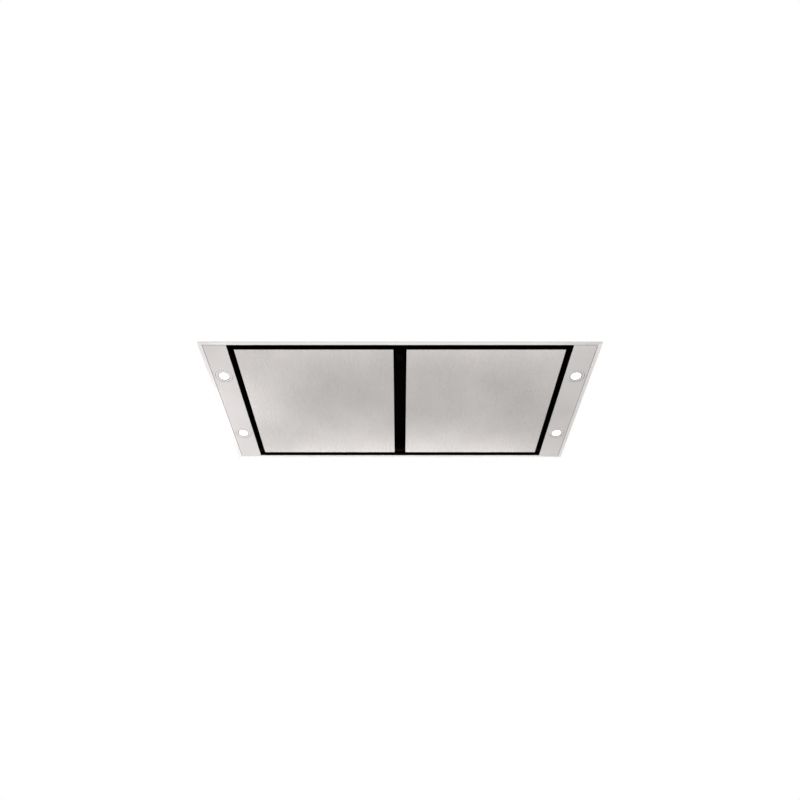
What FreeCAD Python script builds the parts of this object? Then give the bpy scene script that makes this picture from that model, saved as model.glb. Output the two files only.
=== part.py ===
import FreeCAD, Part
import math
import os

# Ceiling range hood that is set flush into a ceiling and seen from below.
# Units are millimetres. The origin is the centre of the visible face, +Z points up
# into the ceiling void, X runs along the long side and -Y is the side of the viewer.

V = FreeCAD.Vector
X = V(1, 0, 0)
Y = V(0, 1, 0)
Z = V(0, 0, 1)

# ---- face ----
FACE_W = 1200.0
FACE_D = 600.0
RIM_W = 12.5            # visible width of the rim
TRIM_T = 1.2            # sheet of the rim and the light strips
TRIM_LEG_H = 25.0       # upstand of the rim, inside the housing
STRIP_W = 70.3          # from the rim's opening to the suction slot
STRIP_LIP_H = 18.0
HAIRLINE = 0.3          # joint between the rim and a light strip
GASKET_EDGE = 1.8       # gasket back from the rim's outer edge
GASKET_T = 3.0

# ---- perimeter panels ----
SLOT_W = 19.2           # suction slot between a panel and the rim or strip
CENTRE_SLOT_W = 39.2    # suction slot between the two panels
PANEL_H = 20.0
SKIN_T = 0.8
SKIN_FOLD_H = 1.6       # stainless edge folded up round the black backing
BACKING_T = 0.6
BEND_R = 1.2            # outer bend radius of the folded edges
HINGE_R = 8.0           # rounded end of a hinge bracket, flush with the panel's rear edge
HINGE_LIFT = 3.0        # lower end of the brackets over the face
HINGE_SIDE_GAP = 6.0    # between a panel's side and the bracket
HINGE_PLATE_H = 38.0    # top of an outer hinge bracket
PIN_R = 3.0
PIN_HEAD_R = 5.0
PIN_HEAD_T = 3.0
PIN_ENGAGE = 8.0        # length of pin inside the bracket
RUNNING_CLEARANCE = 0.05
MAGNET_INSET = 10.0     # magnet centre in from the panel's front edge
MAGNET_SIDE = 59.2      # magnet centre in from the panel's side
MAGNET_R = 8.0
MAGNET_H = 6.0
MAGNET_STUD_R = 2.5
MAGNET_GAP = 0.3

# ---- inlet sections and grease filters ----
INLET_T = 1.0           # black coated sheet
INLET_EDGE_Z = 1.5      # lower edge of the inlet walls
DECK_Z = 64.0           # underside of the shelf over the filters
FILTER_BEAM_GAP = 4.8   # filter to the centre beam
FILTER_SIDE_GAP = 19.4  # filter to the inlet's side wall
WEB_HINGE_GAP = 0.8     # filter's rear web to the centre hinge bracket
FILTER_T = 10.0
FILTER_BAR_W = 14.0
FILTER_LAP = 8.0        # shelf reaches this far over a filter's edge
FILTER_PLAY = 0.5
LEDGE_W = 10.0
MESH_T = 2.0
MESH_SEAT = 6.0         # depth of the mesh in the frame's groove
MESH_PLAY = 0.1
RAIL_DROP = 18.0        # latch rail below the shelf
LATCH_W = 40.0
LATCH_T = 3.0
LATCH_REACH = 6.0       # bolt past the filter's front edge
LATCH_BACK = 40.0       # slide behind the filter's front edge
LATCH_TAB_T = 4.0
LATCH_TAB_H = 8.0
GUIDE_T = 3.0
GUIDE_LIP = 4.0
GUIDE_PLATE = 2.0
SLIDE_CLEARANCE = 0.3
BEAM_W = 32.0
BEAM_H = 14.0
RECEIVER_W = 20.0
RECEIVER_D = 30.0
RECEIVER_T = 3.0
RECEIVER_INSET = 40.0   # in from the beam's near end

# ---- housing ----
HOUSING_T = 1.2
HOUSING_H = 300.0       # face to the underside of the top plate
TOP_T = 1.5
FLANGE_W = 15.0
HANG_INSET = 49.9       # suspension holes in from the housing's walls
HANG_HOLE_R = 4.5
HANG_T = 3.0
HANG_H = 40.0
HANG_W = 40.0
HANG_FOOT = 42.0
SCREW_R = 2.0
SCREW_HEAD_R = 4.0
SCREW_HEAD_H = 2.0
SCREW_CLEARANCE = 0.2
SCREW_TIP = 3.0
TRIM_SCREW_Z = 15.0
BOLT_R = 3.0
BOLT_HEAD_R = 5.5
BOLT_HEAD_H = 4.0

# ---- spot lamps ----
LAMP_OFFSET = 1.45      # lamp centre outwards from the strip's middle
LAMP_Y = 150.0
BEZEL_R = 26.75
BEZEL_RING_R = 19.0
LENS_R = 15.25
BEZEL_TUBE_T = 1.2
BEZEL_TUBE_H = 7.0
BEZEL_CONE_H = 2.2
BEZEL_GAP = 0.25
LENS_DOME_R = 340.0
LENS_LOW_Z = 0.1
LENS_FLARE_GAP = 0.3    # lens to the ring's funnel
LENS_LED_GAP = 1.0
LENS_PLAY = 0.1
SINK_LAND = 4.25        # heat sink's flange past the bezel
SINK_FLANGE_T = 1.5
SINK_WALL = 3.7
SINK_BASE_T = 5.0
SINK_FIN_H = 18.0
SINK_FIN_T = 2.0
SINK_FIN_PITCH = 6.0
SINK_FIN_SIDE = 3       # fins on each side of the middle one

# ---- blower ----
BLADE_DEPTH = 15.0      # blades' inner radius to the wheel's outer radius
WHEEL_W = 140.0
WHEEL_GAP = 7.0         # wheel to the scroll's wall at the tongue
WHEEL_SIDE_GAP = 6.0
SCROLL_T = 2.0
SCROLL_STEP = 10.0      # the scroll's radius grows by this each quarter turn
SCROLL_GAP = 4.0        # scroll to the shelf under it
SCROLL_NECK = 19.0      # top of the wheel to the outlet
TONGUE_Y = 36.0         # inner face of the outlet's wall at the tongue, from the axis
INLET_OVER = 6.0        # inlet's radius past the blades' inner radius
LIP_GAP = 2.0           # inlet lip to the wheel, along X
WHEEL_RING_T = 2.0
HUB_R = 10.0
HUB_W = 16.0
BLADES = 36
BLADE_T = 1.2
BLADE_CURVE_DEG = 6.0
SHAFT_R = 4.0
MOTOR_GAP = 14.0        # motor to the blades, all round
MOTOR_W = 50.0
MOTOR_EDGE_R = 4.0
MOTOR_HUB_GAP = 4.0
SHAFT_BACK = 10.0       # motor's wall behind the shaft
SHAFT_OUT = 6.0         # shaft past the hub
SPIDER_T = 3.0
SPIDER_ARM_W = 12.0
SPIDER_LAND = 12.0      # arms past the inlet, on the scroll's side
SPIDER_DISC_R = 24.0
SPIDER_BOSS_R = 20.0
ANGLE_T = 2.0
ANGLE_W = 30.0
ANGLE_L = 70.0
ANGLE_OVER_INLET = 4.0
MOUNT_R = 8.0
MOUNT_H = 8.0
MOUNT_SPREAD = 20.0

# ---- outlet and damper ----
DUCT_R = 74.5           # outside of the collar, for a 150 mm duct
DUCT_T = 1.5
DUCT_H = 62.0
DUCT_FLANGE_R = 92.0
DUCT_FLANGE_T = 2.0
ADAPTER_T = 2.0
ADAPTER_H = 28.0
ROD_R = 2.5
ROD_UP = 8.0            # rod above the top plate
ROD_END_GAP = 0.5
FLAP_T = 1.2
FLAP_SIDE_GAP = 1.5
FLAP_HINGE_GAP = 0.8
KNUCKLE_R = 4.2
KNUCKLE_L = 25.0
KNUCKLE_NEAR = 5.0      # nearer end of the front flap's knuckles
KNUCKLE_FAR = 35.0      # nearer end of the rear flap's knuckles
STOP_W = 12.0
STOP_D = 7.0
STOP_H = 3.0
STOP_GAP = 0.3

# ---- electrics ----
BOX_FROM_WALL = 158.7
BOX_W = 200.0
BOX_D = 150.0
BOX_H = 53.0
BOX_T = 1.5
LID_T = 1.5
LID_LIP = 8.0
TERMINAL_W = 60.0
TERMINAL_D = 20.0
TERMINAL_H = 18.0
TERMINAL_OFFSET = 45.0
TERMINAL_WAYS = 5
TERMINAL_HOLE_R = 2.0
GLAND_R = 9.8
GLAND_HEX_R = 13.0
GLAND_HEX_H = 5.0
GLAND_DOME_R = 10.5
GLAND_DOME_H = 18.0
GLAND_BORE_R = 5.0
NUT_H = 5.0

# ---- places that follow from the values above ----
open_x = FACE_W / 2 - RIM_W
open_y = FACE_D / 2 - RIM_W
wall_x = open_x + TRIM_T
wall_y = open_y + TRIM_T
house_x = wall_x + HOUSING_T
house_y = wall_y + HOUSING_T
slot_x = open_x - STRIP_W
panel_out_x = slot_x - SLOT_W
panel_in_x = CENTRE_SLOT_W / 2
panel_y = open_y - SLOT_W
hinge_y = panel_y - HINGE_R
hinge_z = HINGE_LIFT + HINGE_R
filter_in_x = BEAM_W / 2 + FILTER_BEAM_GAP
filter_out_x = slot_x - INLET_T - FILTER_SIDE_GAP
filter_mid_x = (filter_in_x + filter_out_x) / 2
filter_y = hinge_y - HINGE_R - WEB_HINGE_GAP - INLET_T - FILTER_PLAY
filter_z = DECK_Z - FILTER_PLAY - FILTER_T
deck_top = DECK_Z + INLET_T
slide_top = filter_z - SLIDE_CLEARANCE
slide_low = slide_top - LATCH_T
top_z = HOUSING_H + TOP_T
hang_x = house_x - HANG_INSET
hang_y = house_y - HANG_INSET
lamp_x = (open_x + slot_x) / 2 + LAMP_OFFSET
sink_in_r = BEZEL_RING_R + BEZEL_TUBE_T + LENS_PLAY
inner_scroll_x = WHEEL_W / 2 + WHEEL_SIDE_GAP
scroll_x = inner_scroll_x + SCROLL_T
motor_x = -HUB_W / 2 - MOTOR_HUB_GAP
outlet_z = HOUSING_H - ADAPTER_H
scroll_room = outlet_z - deck_top - SCROLL_GAP - SCROLL_T - SCROLL_NECK
wheel_r = (scroll_room - WHEEL_GAP - 2.5 * SCROLL_STEP) / 2
wheel_in_r = wheel_r - BLADE_DEPTH
scroll_r = wheel_r + WHEEL_GAP + 3 * SCROLL_STEP
inlet_r = wheel_in_r + INLET_OVER
rod_z = top_z + ROD_UP
duct_in_r = DUCT_R - DUCT_T
flap_r = duct_in_r - FLAP_SIDE_GAP
box_x = -wall_x + BOX_FROM_WALL + BOX_W / 2
spiral_z = deck_top + SCROLL_GAP + SCROLL_T + scroll_r
axis_z = spiral_z - SCROLL_STEP / 2
axis_y = -(SCROLL_STEP / 2 + scroll_r + TONGUE_Y) / 2
spiral_y = axis_y + SCROLL_STEP / 2
outlet_far_y = spiral_y + scroll_r
outlet_near_y = axis_y + TONGUE_Y
outlet_mid_y = (outlet_far_y + outlet_near_y) / 2
screw_hole_r = SCREW_R + SCREW_CLEARANCE


# ---- small helpers ----
def block(x0, x1, y0, y1, z0, z1):
    """A box between two corners, given in any order."""
    low = V(min(x0, x1), min(y0, y1), min(z0, z1))
    return Part.makeBox(abs(x1 - x0), abs(y1 - y0), abs(z1 - z0), low)


def rod(radius, length, start, axis):
    return Part.makeCylinder(radius, length, start, axis)


def tube(outer_r, inner_r, length, start, axis):
    return rod(outer_r, length, start, axis).cut(rod(inner_r, length, start, axis))


def plate_ring(out_x, out_y, in_x, in_y, z0, z1):
    """A flat rectangular frame, centred on the origin."""
    outer = block(-out_x, out_x, -out_y, out_y, z0, z1)
    return outer.cut(block(-in_x, in_x, -in_y, in_y, z0, z1))


def join(shapes):
    return shapes[0].fuse(shapes[1:]).removeSplitter()


def mirrored(shape):
    return shape.mirror(V(0, 0, 0), X)


def write(node, *shapes):
    solids = [solid for shape in shapes for solid in shape.Solids]
    whole = solids[0] if len(solids) == 1 else Part.makeCompound(solids)
    whole.exportStep("parts/" + node + ".step")


# ---- screw places, shared by the screws and by the holes they pass ----
def top_screw_places():
    """Points on the top plate over the walls' upper flanges."""
    edge_x = wall_x - FLANGE_W / 2
    edge_y = wall_y - FLANGE_W / 2
    long_side = [(share * edge_x, side * edge_y) for side in (-1, 1) for share in (-0.75, -0.25, 0.25, 0.75)]
    short_side = [(side * edge_x, share * edge_y) for side in (-1, 1) for share in (-0.5, 0.5)]
    return long_side + short_side


def long_wall_screw_xs():
    return [share * slot_x for share in (-0.9, -0.3, 0.3, 0.9)]


def short_wall_screw_ys():
    return [share * open_y for share in (-0.8, 0.0, 0.8)]


def wall_screw_holes():
    """Holes through the housing walls, the rim's upstand and what lies behind it."""
    depth = 12.0
    holes = []
    for side in (-1, 1):
        for x in long_wall_screw_xs():
            holes.append(rod(screw_hole_r, depth, V(x, side * house_y, TRIM_SCREW_Z), Y * -side))
        for y in short_wall_screw_ys():
            holes.append(rod(screw_hole_r, depth, V(side * house_x, y, TRIM_SCREW_Z), X * -side))
    return holes


def screw(seat, out, length, radius=SCREW_R, head_r=SCREW_HEAD_R, head_h=SCREW_HEAD_H):
    """A pan-head screw. seat is where the head meets the sheet, out points away from it."""
    head = rod(head_r, head_h, seat, out)
    outer_end = seat + out * head_h
    rims = [edge for edge in head.Edges if edge.Closed and edge.CenterOfMass.isEqual(outer_end, 0.01)]
    head = head.makeFillet(head_h * 0.45, rims)
    return head.fuse(rod(radius, length, seat, out * -1)).removeSplitter()


# ---- face ----
def make_trim_frame():
    rim = plate_ring(FACE_W / 2, FACE_D / 2, open_x, open_y, 0, TRIM_T)
    leg = plate_ring(wall_x, wall_y, open_x, open_y, 0, TRIM_LEG_H)
    write("trim_frame", join([rim, leg]).cut(wall_screw_holes()))


def make_ceiling_gasket():
    out_x = FACE_W / 2 - GASKET_EDGE
    out_y = FACE_D / 2 - GASKET_EDGE
    ring = plate_ring(out_x, out_y, house_x + HAIRLINE, house_y + HAIRLINE, TRIM_T, TRIM_T + GASKET_T)
    write("ceiling_gasket", ring)


def light_strip():
    far_x = open_x - HAIRLINE
    far_y = open_y - HAIRLINE
    outer = block(slot_x, far_x, -far_y, far_y, 0, STRIP_LIP_H)
    inner = block(slot_x + TRIM_T, far_x - TRIM_T, -far_y + TRIM_T, far_y - TRIM_T, TRIM_T, HOUSING_H)
    strip = outer.cut(inner)
    for side in (-1, 1):
        strip = strip.cut(rod(BEZEL_R + BEZEL_GAP, TRIM_T, V(lamp_x, side * LAMP_Y, 0), Z))
    return strip


def make_light_strips():
    right = light_strip()
    write("light_strip_right", right.cut(wall_screw_holes()))
    write("light_strip_left", mirrored(right).cut(wall_screw_holes()))


def lamp_bezel(x, y):
    tube_r = BEZEL_RING_R + BEZEL_TUBE_T
    flange = rod(BEZEL_R, TRIM_T, V(x, y, 0), Z)
    neck = rod(tube_r, BEZEL_TUBE_H, V(x, y, 0), Z)
    mouth = Part.makeCone(BEZEL_RING_R, LENS_R, BEZEL_CONE_H, V(x, y, 0), Z)
    seat = rod(LENS_R, BEZEL_TUBE_H, V(x, y, 0), Z)
    return flange.fuse(neck).cut([mouth, seat]).removeSplitter()


def lamp_lens(x, y):
    """A lens that flares to fill the ring's funnel, with a slightly domed front."""
    dome = Part.makeSphere(LENS_DOME_R, V(x, y, LENS_LOW_Z + LENS_DOME_R))
    wide = BEZEL_RING_R - LENS_FLARE_GAP
    flare = Part.makeCone(wide, LENS_R - LENS_FLARE_GAP, BEZEL_CONE_H, V(x, y, 0), Z)
    stem_h = BEZEL_TUBE_H - LENS_LED_GAP - BEZEL_CONE_H
    stem = rod(LENS_R - LENS_PLAY, stem_h, V(x, y, BEZEL_CONE_H), Z)
    return join([flare, stem]).common(dome)


def lamp_heat_sink(x, y):
    base_z = BEZEL_TUBE_H
    sink_r = sink_in_r + SINK_WALL
    flange = tube(BEZEL_R + SINK_LAND, sink_in_r, SINK_FLANGE_T, V(x, y, TRIM_T), Z)
    cup = tube(sink_r, sink_in_r, base_z - TRIM_T, V(x, y, TRIM_T), Z)
    base = rod(sink_r, SINK_BASE_T, V(x, y, base_z), Z)
    fin_zone = rod(sink_r, SINK_FIN_H, V(x, y, base_z + SINK_BASE_T), Z)
    fins = []
    for index in range(-SINK_FIN_SIDE, SINK_FIN_SIDE + 1):
        mid = x + index * SINK_FIN_PITCH
        slab = block(mid - SINK_FIN_T / 2, mid + SINK_FIN_T / 2, y - sink_r, y + sink_r, base_z, HOUSING_H)
        fins.append(slab.common(fin_zone))
    return join([base, flange, cup] + fins)


def make_lamps():
    sinks = []
    number = 0
    for x in (-lamp_x, lamp_x):
        for y in (-LAMP_Y, LAMP_Y):
            number += 1
            write("lamp_bezel_%d" % number, lamp_bezel(x, y))
            write("lamp_lens_%d" % number, lamp_lens(x, y))
            sinks.append(lamp_heat_sink(x, y))
    write("lamp_heat_sinks", *sinks)


# ---- perimeter panels ----
def pin_hole(x):
    """A hole for a hinge pin through the panel's side at x."""
    return rod(PIN_R + RUNNING_CLEARANCE, 2 * SLOT_W, V(x - SLOT_W, hinge_y, hinge_z), X)


def panel_skin():
    outer = block(panel_in_x, panel_out_x, -panel_y, panel_y, 0, SKIN_FOLD_H)
    low = [edge for edge in outer.Edges if edge.CenterOfMass.z < SKIN_FOLD_H * 0.75]
    outer = outer.makeFillet(BEND_R, low)
    in_y = panel_y - SKIN_T
    return outer.cut(block(panel_in_x + SKIN_T, panel_out_x - SKIN_T, -in_y, in_y, SKIN_T, SKIN_FOLD_H))


def panel_backing():
    x0 = panel_in_x + SKIN_T
    x1 = panel_out_x - SKIN_T
    y1 = panel_y - SKIN_T
    outer = block(x0, x1, -y1, y1, SKIN_T, PANEL_H)
    in_y = y1 - BACKING_T
    inner = block(x0 + BACKING_T, x1 - BACKING_T, -in_y, in_y, SKIN_T, PANEL_H - BACKING_T)
    return outer.cut([inner, pin_hole(panel_in_x), pin_hole(panel_out_x)])


def hinge_pin(edge_x, outward):
    """A headed pin through the panel's side. outward is +1 or -1 along X."""
    inside = edge_x - outward * (SKIN_T + BACKING_T)
    length = SKIN_T + BACKING_T + HINGE_SIDE_GAP + PIN_ENGAGE
    head = rod(PIN_HEAD_R, PIN_HEAD_T, V(inside, hinge_y, hinge_z), X * -outward)
    return head.fuse(rod(PIN_R, length, V(inside, hinge_y, hinge_z), X * outward)).removeSplitter()


def hinge_bracket(x0, x1, top):
    """A bracket with a rounded lower end that a hinge pin turns in."""
    eye = rod(HINGE_R, abs(x1 - x0), V(min(x0, x1), hinge_y, hinge_z), X)
    plate = block(x0, x1, hinge_y - HINGE_R, hinge_y + HINGE_R, hinge_z, top)
    bore = rod(PIN_R + RUNNING_CLEARANCE, abs(x1 - x0), V(min(x0, x1), hinge_y, hinge_z), X)
    return eye.fuse(plate).removeSplitter().cut(bore)


def magnet_catch(x):
    y = MAGNET_INSET - panel_y
    low = PANEL_H + MAGNET_GAP
    pot = rod(MAGNET_R, MAGNET_H, V(x, y, low), Z)
    return pot.fuse(rod(MAGNET_STUD_R, DECK_Z - low, V(x, y, low), Z)).removeSplitter()


def make_panels():
    skin = panel_skin()
    backing = panel_backing()
    pins = [hinge_pin(panel_in_x, -1), hinge_pin(panel_out_x, 1)]
    outer = hinge_bracket(panel_out_x + HINGE_SIDE_GAP, slot_x - INLET_T, HINGE_PLATE_H)
    centre_x = panel_in_x - HINGE_SIDE_GAP
    write("panel_skin_right", skin)
    write("panel_skin_left", mirrored(skin))
    write("panel_backing_right", backing)
    write("panel_backing_left", mirrored(backing))
    write("hinge_pins_right", *pins)
    write("hinge_pins_left", *[mirrored(pin) for pin in pins])
    write("hinge_bracket_right", outer)
    write("hinge_bracket_left", mirrored(outer))
    write("hinge_bracket_centre", hinge_bracket(-centre_x, centre_x, DECK_Z))
    places = [side * x for side in (-1, 1) for x in (panel_in_x + MAGNET_SIDE, panel_out_x - MAGNET_SIDE)]
    write("magnet_catches", *[magnet_catch(x) for x in places])


# ---- inlet sections ----
def end_wall(side):
    wall = block(-slot_x, slot_x, side * (open_y - INLET_T), side * open_y, INLET_EDGE_Z, DECK_Z)
    shelf = block(-wall_x, wall_x, side * (filter_y - FILTER_LAP), side * wall_y, DECK_Z, deck_top)
    return wall, shelf


def rail_y(depth):
    """Distance of a filter's rail from the middle; depth goes through the sheet."""
    return filter_y + FILTER_PLAY + depth


def inlet_front():
    wall, shelf = end_wall(-1)
    rail = block(-slot_x, slot_x, -rail_y(0), -rail_y(INLET_T), DECK_Z - RAIL_DROP, DECK_Z)
    holes = []
    for x in (-filter_mid_x, filter_mid_x):
        half = LATCH_W / 2 + SLIDE_CLEARANCE
        low = slide_low - SLIDE_CLEARANCE
        high = slide_top + SLIDE_CLEARANCE
        holes.append(block(x - half, x + half, -rail_y(-INLET_T), -rail_y(2 * INLET_T), low, high))
    return join([wall, shelf, rail]).cut(holes)


def inlet_rear():
    wall, shelf = end_wall(1)
    web = block(-slot_x, slot_x, rail_y(0), rail_y(INLET_T), filter_z - INLET_T, DECK_Z)
    ledge = block(-slot_x, slot_x, filter_y - LEDGE_W, rail_y(INLET_T), filter_z - INLET_T, filter_z)
    return join([wall, shelf, web, ledge])


def inlet_side():
    reach = open_y - INLET_T
    shelf_y = filter_y - FILTER_LAP
    wall = block(slot_x - INLET_T, slot_x, -reach, reach, INLET_EDGE_Z, DECK_Z)
    ends = []
    for side in (-1, 1):
        near = side * (filter_y - LEDGE_W)
        ends.append(block(slot_x - INLET_T, slot_x, near, side * reach, DECK_Z - RAIL_DROP, DECK_Z))
    shelf = block(filter_out_x - FILTER_LAP, wall_x, -shelf_y, shelf_y, DECK_Z, deck_top)
    return join([wall.cut(ends), shelf])


def centre_beam():
    half = BEAM_W / 2
    reach = filter_y - LEDGE_W
    shelf_y = filter_y - FILTER_LAP
    outer = block(-half, half, -reach, reach, DECK_Z - BEAM_H, DECK_Z)
    inner = block(INLET_T - half, half - INLET_T, -reach, reach, DECK_Z - BEAM_H + INLET_T, DECK_Z)
    plate_x = filter_in_x + FILTER_LAP
    plate = block(-plate_x, plate_x, -shelf_y, shelf_y, DECK_Z, deck_top)
    return join([outer.cut(inner), plate])


def make_inlet():
    side = inlet_side()
    write("inlet_front", inlet_front().cut(wall_screw_holes()))
    write("inlet_rear", inlet_rear().cut(wall_screw_holes()))
    write("inlet_right", side)
    write("inlet_left", mirrored(side))
    write("centre_beam", centre_beam())
    half = RECEIVER_W / 2
    near = RECEIVER_INSET - (filter_y - LEDGE_W)
    low = DECK_Z - BEAM_H - RECEIVER_T
    window = block(-half, half, near, near + RECEIVER_D, low, low + RECEIVER_T)
    edges = [edge for edge in window.Edges if edge.CenterOfMass.z < low + RECEIVER_T * 0.75]
    write("receiver_window", window.makeFillet(RECEIVER_T * 0.3, edges))


# ---- grease filters ----
def filter_frame():
    x0 = filter_in_x
    x1 = filter_out_x
    high = filter_z + FILTER_T
    mid = filter_z + FILTER_T / 2
    groove = MESH_T / 2 + MESH_PLAY
    edge = FILTER_BAR_W - MESH_SEAT
    outer = block(x0, x1, -filter_y, filter_y, filter_z, high)
    in_y = filter_y - FILTER_BAR_W
    window = block(x0 + FILTER_BAR_W, x1 - FILTER_BAR_W, -in_y, in_y, filter_z, high)
    slot = block(x0 + edge, x1 - edge, edge - filter_y, filter_y - edge, mid - groove, mid + groove)
    guides = []
    for side in (-1, 1):
        near = filter_mid_x + side * (LATCH_W / 2 + SLIDE_CLEARANCE)
        far = near + side * GUIDE_T
        lip_z = slide_low - SLIDE_CLEARANCE
        back = FILTER_BAR_W - filter_y
        guides.append(block(near, far, -filter_y, back, lip_z - GUIDE_PLATE, filter_z))
        guides.append(block(near - side * GUIDE_LIP, far, -filter_y, back, lip_z - GUIDE_PLATE, lip_z))
    return join([outer.cut([window, slot])] + guides)


def filter_mesh():
    mid = filter_z + FILTER_T / 2
    edge = FILTER_BAR_W - MESH_SEAT + MESH_PLAY
    x0 = filter_in_x + edge
    x1 = filter_out_x - edge
    return block(x0, x1, edge - filter_y, filter_y - edge, mid - MESH_T / 2, mid + MESH_T / 2)


def filter_latch():
    x0 = filter_mid_x - LATCH_W / 2
    x1 = filter_mid_x + LATCH_W / 2
    back = LATCH_BACK - filter_y
    slide = block(x0, x1, -filter_y - LATCH_REACH, back, slide_low, slide_top)
    tab = block(x0, x1, back - LATCH_TAB_T, back, slide_low - LATCH_TAB_H, slide_low)
    body = join([slide, tab])
    low = [edge for edge in body.Edges if edge.CenterOfMass.z < slide_low - LATCH_TAB_H * 0.9]
    return body.makeFillet(LATCH_TAB_T * 0.3, low)


def make_filters():
    parts = {"filter_frame": filter_frame(), "filter_mesh": filter_mesh(), "filter_latch": filter_latch()}
    for name, shape in parts.items():
        write(name + "_right", shape)
        write(name + "_left", mirrored(shape))


# ---- housing ----
def long_wall(side):
    sheet = block(-house_x, house_x, side * wall_y, side * house_y, TRIM_T, HOUSING_H)
    half = wall_x - FLANGE_W - HAIRLINE
    flange = block(-half, half, side * (wall_y - FLANGE_W), side * wall_y, HOUSING_H - HOUSING_T, HOUSING_H)
    return join([sheet, flange])


def short_wall():
    sheet = block(wall_x, house_x, -wall_y, wall_y, TRIM_T, HOUSING_H)
    pieces = [sheet, block(wall_x - FLANGE_W, wall_x, -wall_y, wall_y, HOUSING_H - HOUSING_T, HOUSING_H)]
    for side in (-1, 1):
        near = side * (wall_y - HOUSING_T)
        pieces.append(block(wall_x - FLANGE_W, wall_x, near, side * wall_y, deck_top, HOUSING_H))
    return join(pieces)


def top_screw_holes():
    depth = TOP_T + HOUSING_T
    return [rod(screw_hole_r, depth, V(x, y, HOUSING_H - HOUSING_T), Z) for x, y in top_screw_places()]


def hanger_foot_bolts():
    """Places of the bolts that hold each hanger bracket's foot."""
    return [(sx * hang_x + step * HANG_W / 4, sy * (hang_y - HANG_W / 2 - HANG_FOOT / 2))
            for sx in (-1, 1) for sy in (-1, 1) for step in (-1, 1)]


def top_plate():
    plate = block(-house_x, house_x, -house_y, house_y, HOUSING_H, top_z)
    cuts = [rod(duct_in_r, TOP_T, V(0, outlet_mid_y, HOUSING_H), Z)]
    cuts.append(rod(GLAND_R + SCREW_CLEARANCE, TOP_T, V(box_x, 0, HOUSING_H), Z))
    for x, y in hanger_foot_bolts():
        cuts.append(rod(BOLT_R + SCREW_CLEARANCE, TOP_T, V(x, y, HOUSING_H), Z))
    return plate.cut(cuts + top_screw_holes())


def hanger_bracket(sx, sy):
    """A Z-shaped bracket. Its ear stands over the plate with the rod's hole in it."""
    x0 = sx * hang_x - HANG_W / 2
    x1 = sx * hang_x + HANG_W / 2
    inner = hang_y - HANG_W / 2
    foot = block(x0, x1, sy * (inner - HANG_FOOT), sy * (inner + HANG_T), top_z, top_z + HANG_T)
    riser = block(x0, x1, sy * inner, sy * (inner + HANG_T), top_z, top_z + HANG_H)
    ear = block(x0, x1, sy * inner, sy * (hang_y + HANG_W / 2), top_z + HANG_H - HANG_T, top_z + HANG_H)
    hole = rod(HANG_HOLE_R, HANG_H, V(sx * hang_x, sy * hang_y, top_z + HANG_T), Z)
    holes = [rod(BOLT_R + SCREW_CLEARANCE, HANG_T, V(x, y, top_z), Z) for x, y in hanger_foot_bolts()]
    return join([foot, riser, ear]).cut([hole] + holes)


def make_housing():
    side = short_wall()
    holes = wall_screw_holes() + top_screw_holes()
    write("housing_front", long_wall(-1).cut(holes))
    write("housing_rear", long_wall(1).cut(holes))
    write("housing_right", side.cut(holes))
    write("housing_left", mirrored(side).cut(holes))
    write("top_plate", top_plate())
    write("hanger_brackets", *[hanger_bracket(sx, sy) for sx in (-1, 1) for sy in (-1, 1)])


def make_screws():
    screws = [screw(V(x, y, top_z), Z, TOP_T + HOUSING_T + SCREW_TIP) for x, y in top_screw_places()]
    long_length = HOUSING_T + TRIM_T + INLET_T
    short_length = HOUSING_T + TRIM_T + HAIRLINE + TRIM_T
    for side in (-1, 1):
        for x in long_wall_screw_xs():
            screws.append(screw(V(x, side * house_y, TRIM_SCREW_Z), Y * side, long_length))
        for y in short_wall_screw_ys():
            screws.append(screw(V(side * house_x, y, TRIM_SCREW_Z), X * side, short_length))
    write("sheet_screws", *screws)
    bolts = []
    for x, y in hanger_foot_bolts():
        seat = V(x, y, top_z + HANG_T)
        bolts.append(screw(seat, Z, HANG_T + TOP_T + SCREW_TIP, BOLT_R, BOLT_HEAD_R, BOLT_HEAD_H))
    write("bracket_bolts", *bolts)


# ---- blower ----
def scroll_outline(grow, top):
    """Outline of the scroll in the plane x = 0; grow moves every wall outwards."""
    tongue = outlet_near_y - grow
    right = outlet_far_y + grow
    centre = V(0, spiral_y, spiral_z)
    radius = scroll_r + grow
    quarters = [(centre, radius, 0.0, -90.0)]
    centre = centre + V(0, 0, -SCROLL_STEP)
    radius -= SCROLL_STEP
    quarters.append((centre, radius, -90.0, -180.0))
    centre = centre + V(0, -SCROLL_STEP, 0)
    radius -= SCROLL_STEP
    quarters.append((centre, radius, -180.0, -270.0))
    centre = centre + V(0, 0, SCROLL_STEP)
    radius -= SCROLL_STEP
    last = math.degrees(math.acos((tongue - centre.y) / radius))
    quarters.append((centre, radius, 90.0, last))
    edges = [Part.LineSegment(V(0, right, top), V(0, right, spiral_z)).toShape()]
    for mid, r, start, end in quarters:
        points = [start, (start + end) / 2, end]
        spots = [mid + V(0, r * math.cos(math.radians(a)), r * math.sin(math.radians(a))) for a in points]
        edges.append(Part.Arc(*spots).toShape())
    tip = min(edges[-1].Vertexes, key=lambda vertex: abs(vertex.Point.y - tongue)).Point
    edges.append(Part.LineSegment(tip, V(0, tip.y, top)).toShape())
    edges.append(Part.LineSegment(V(0, tip.y, top), V(0, right, top)).toShape())
    return Part.Face(Part.Wire(Part.__sortEdges__(edges)))


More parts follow.
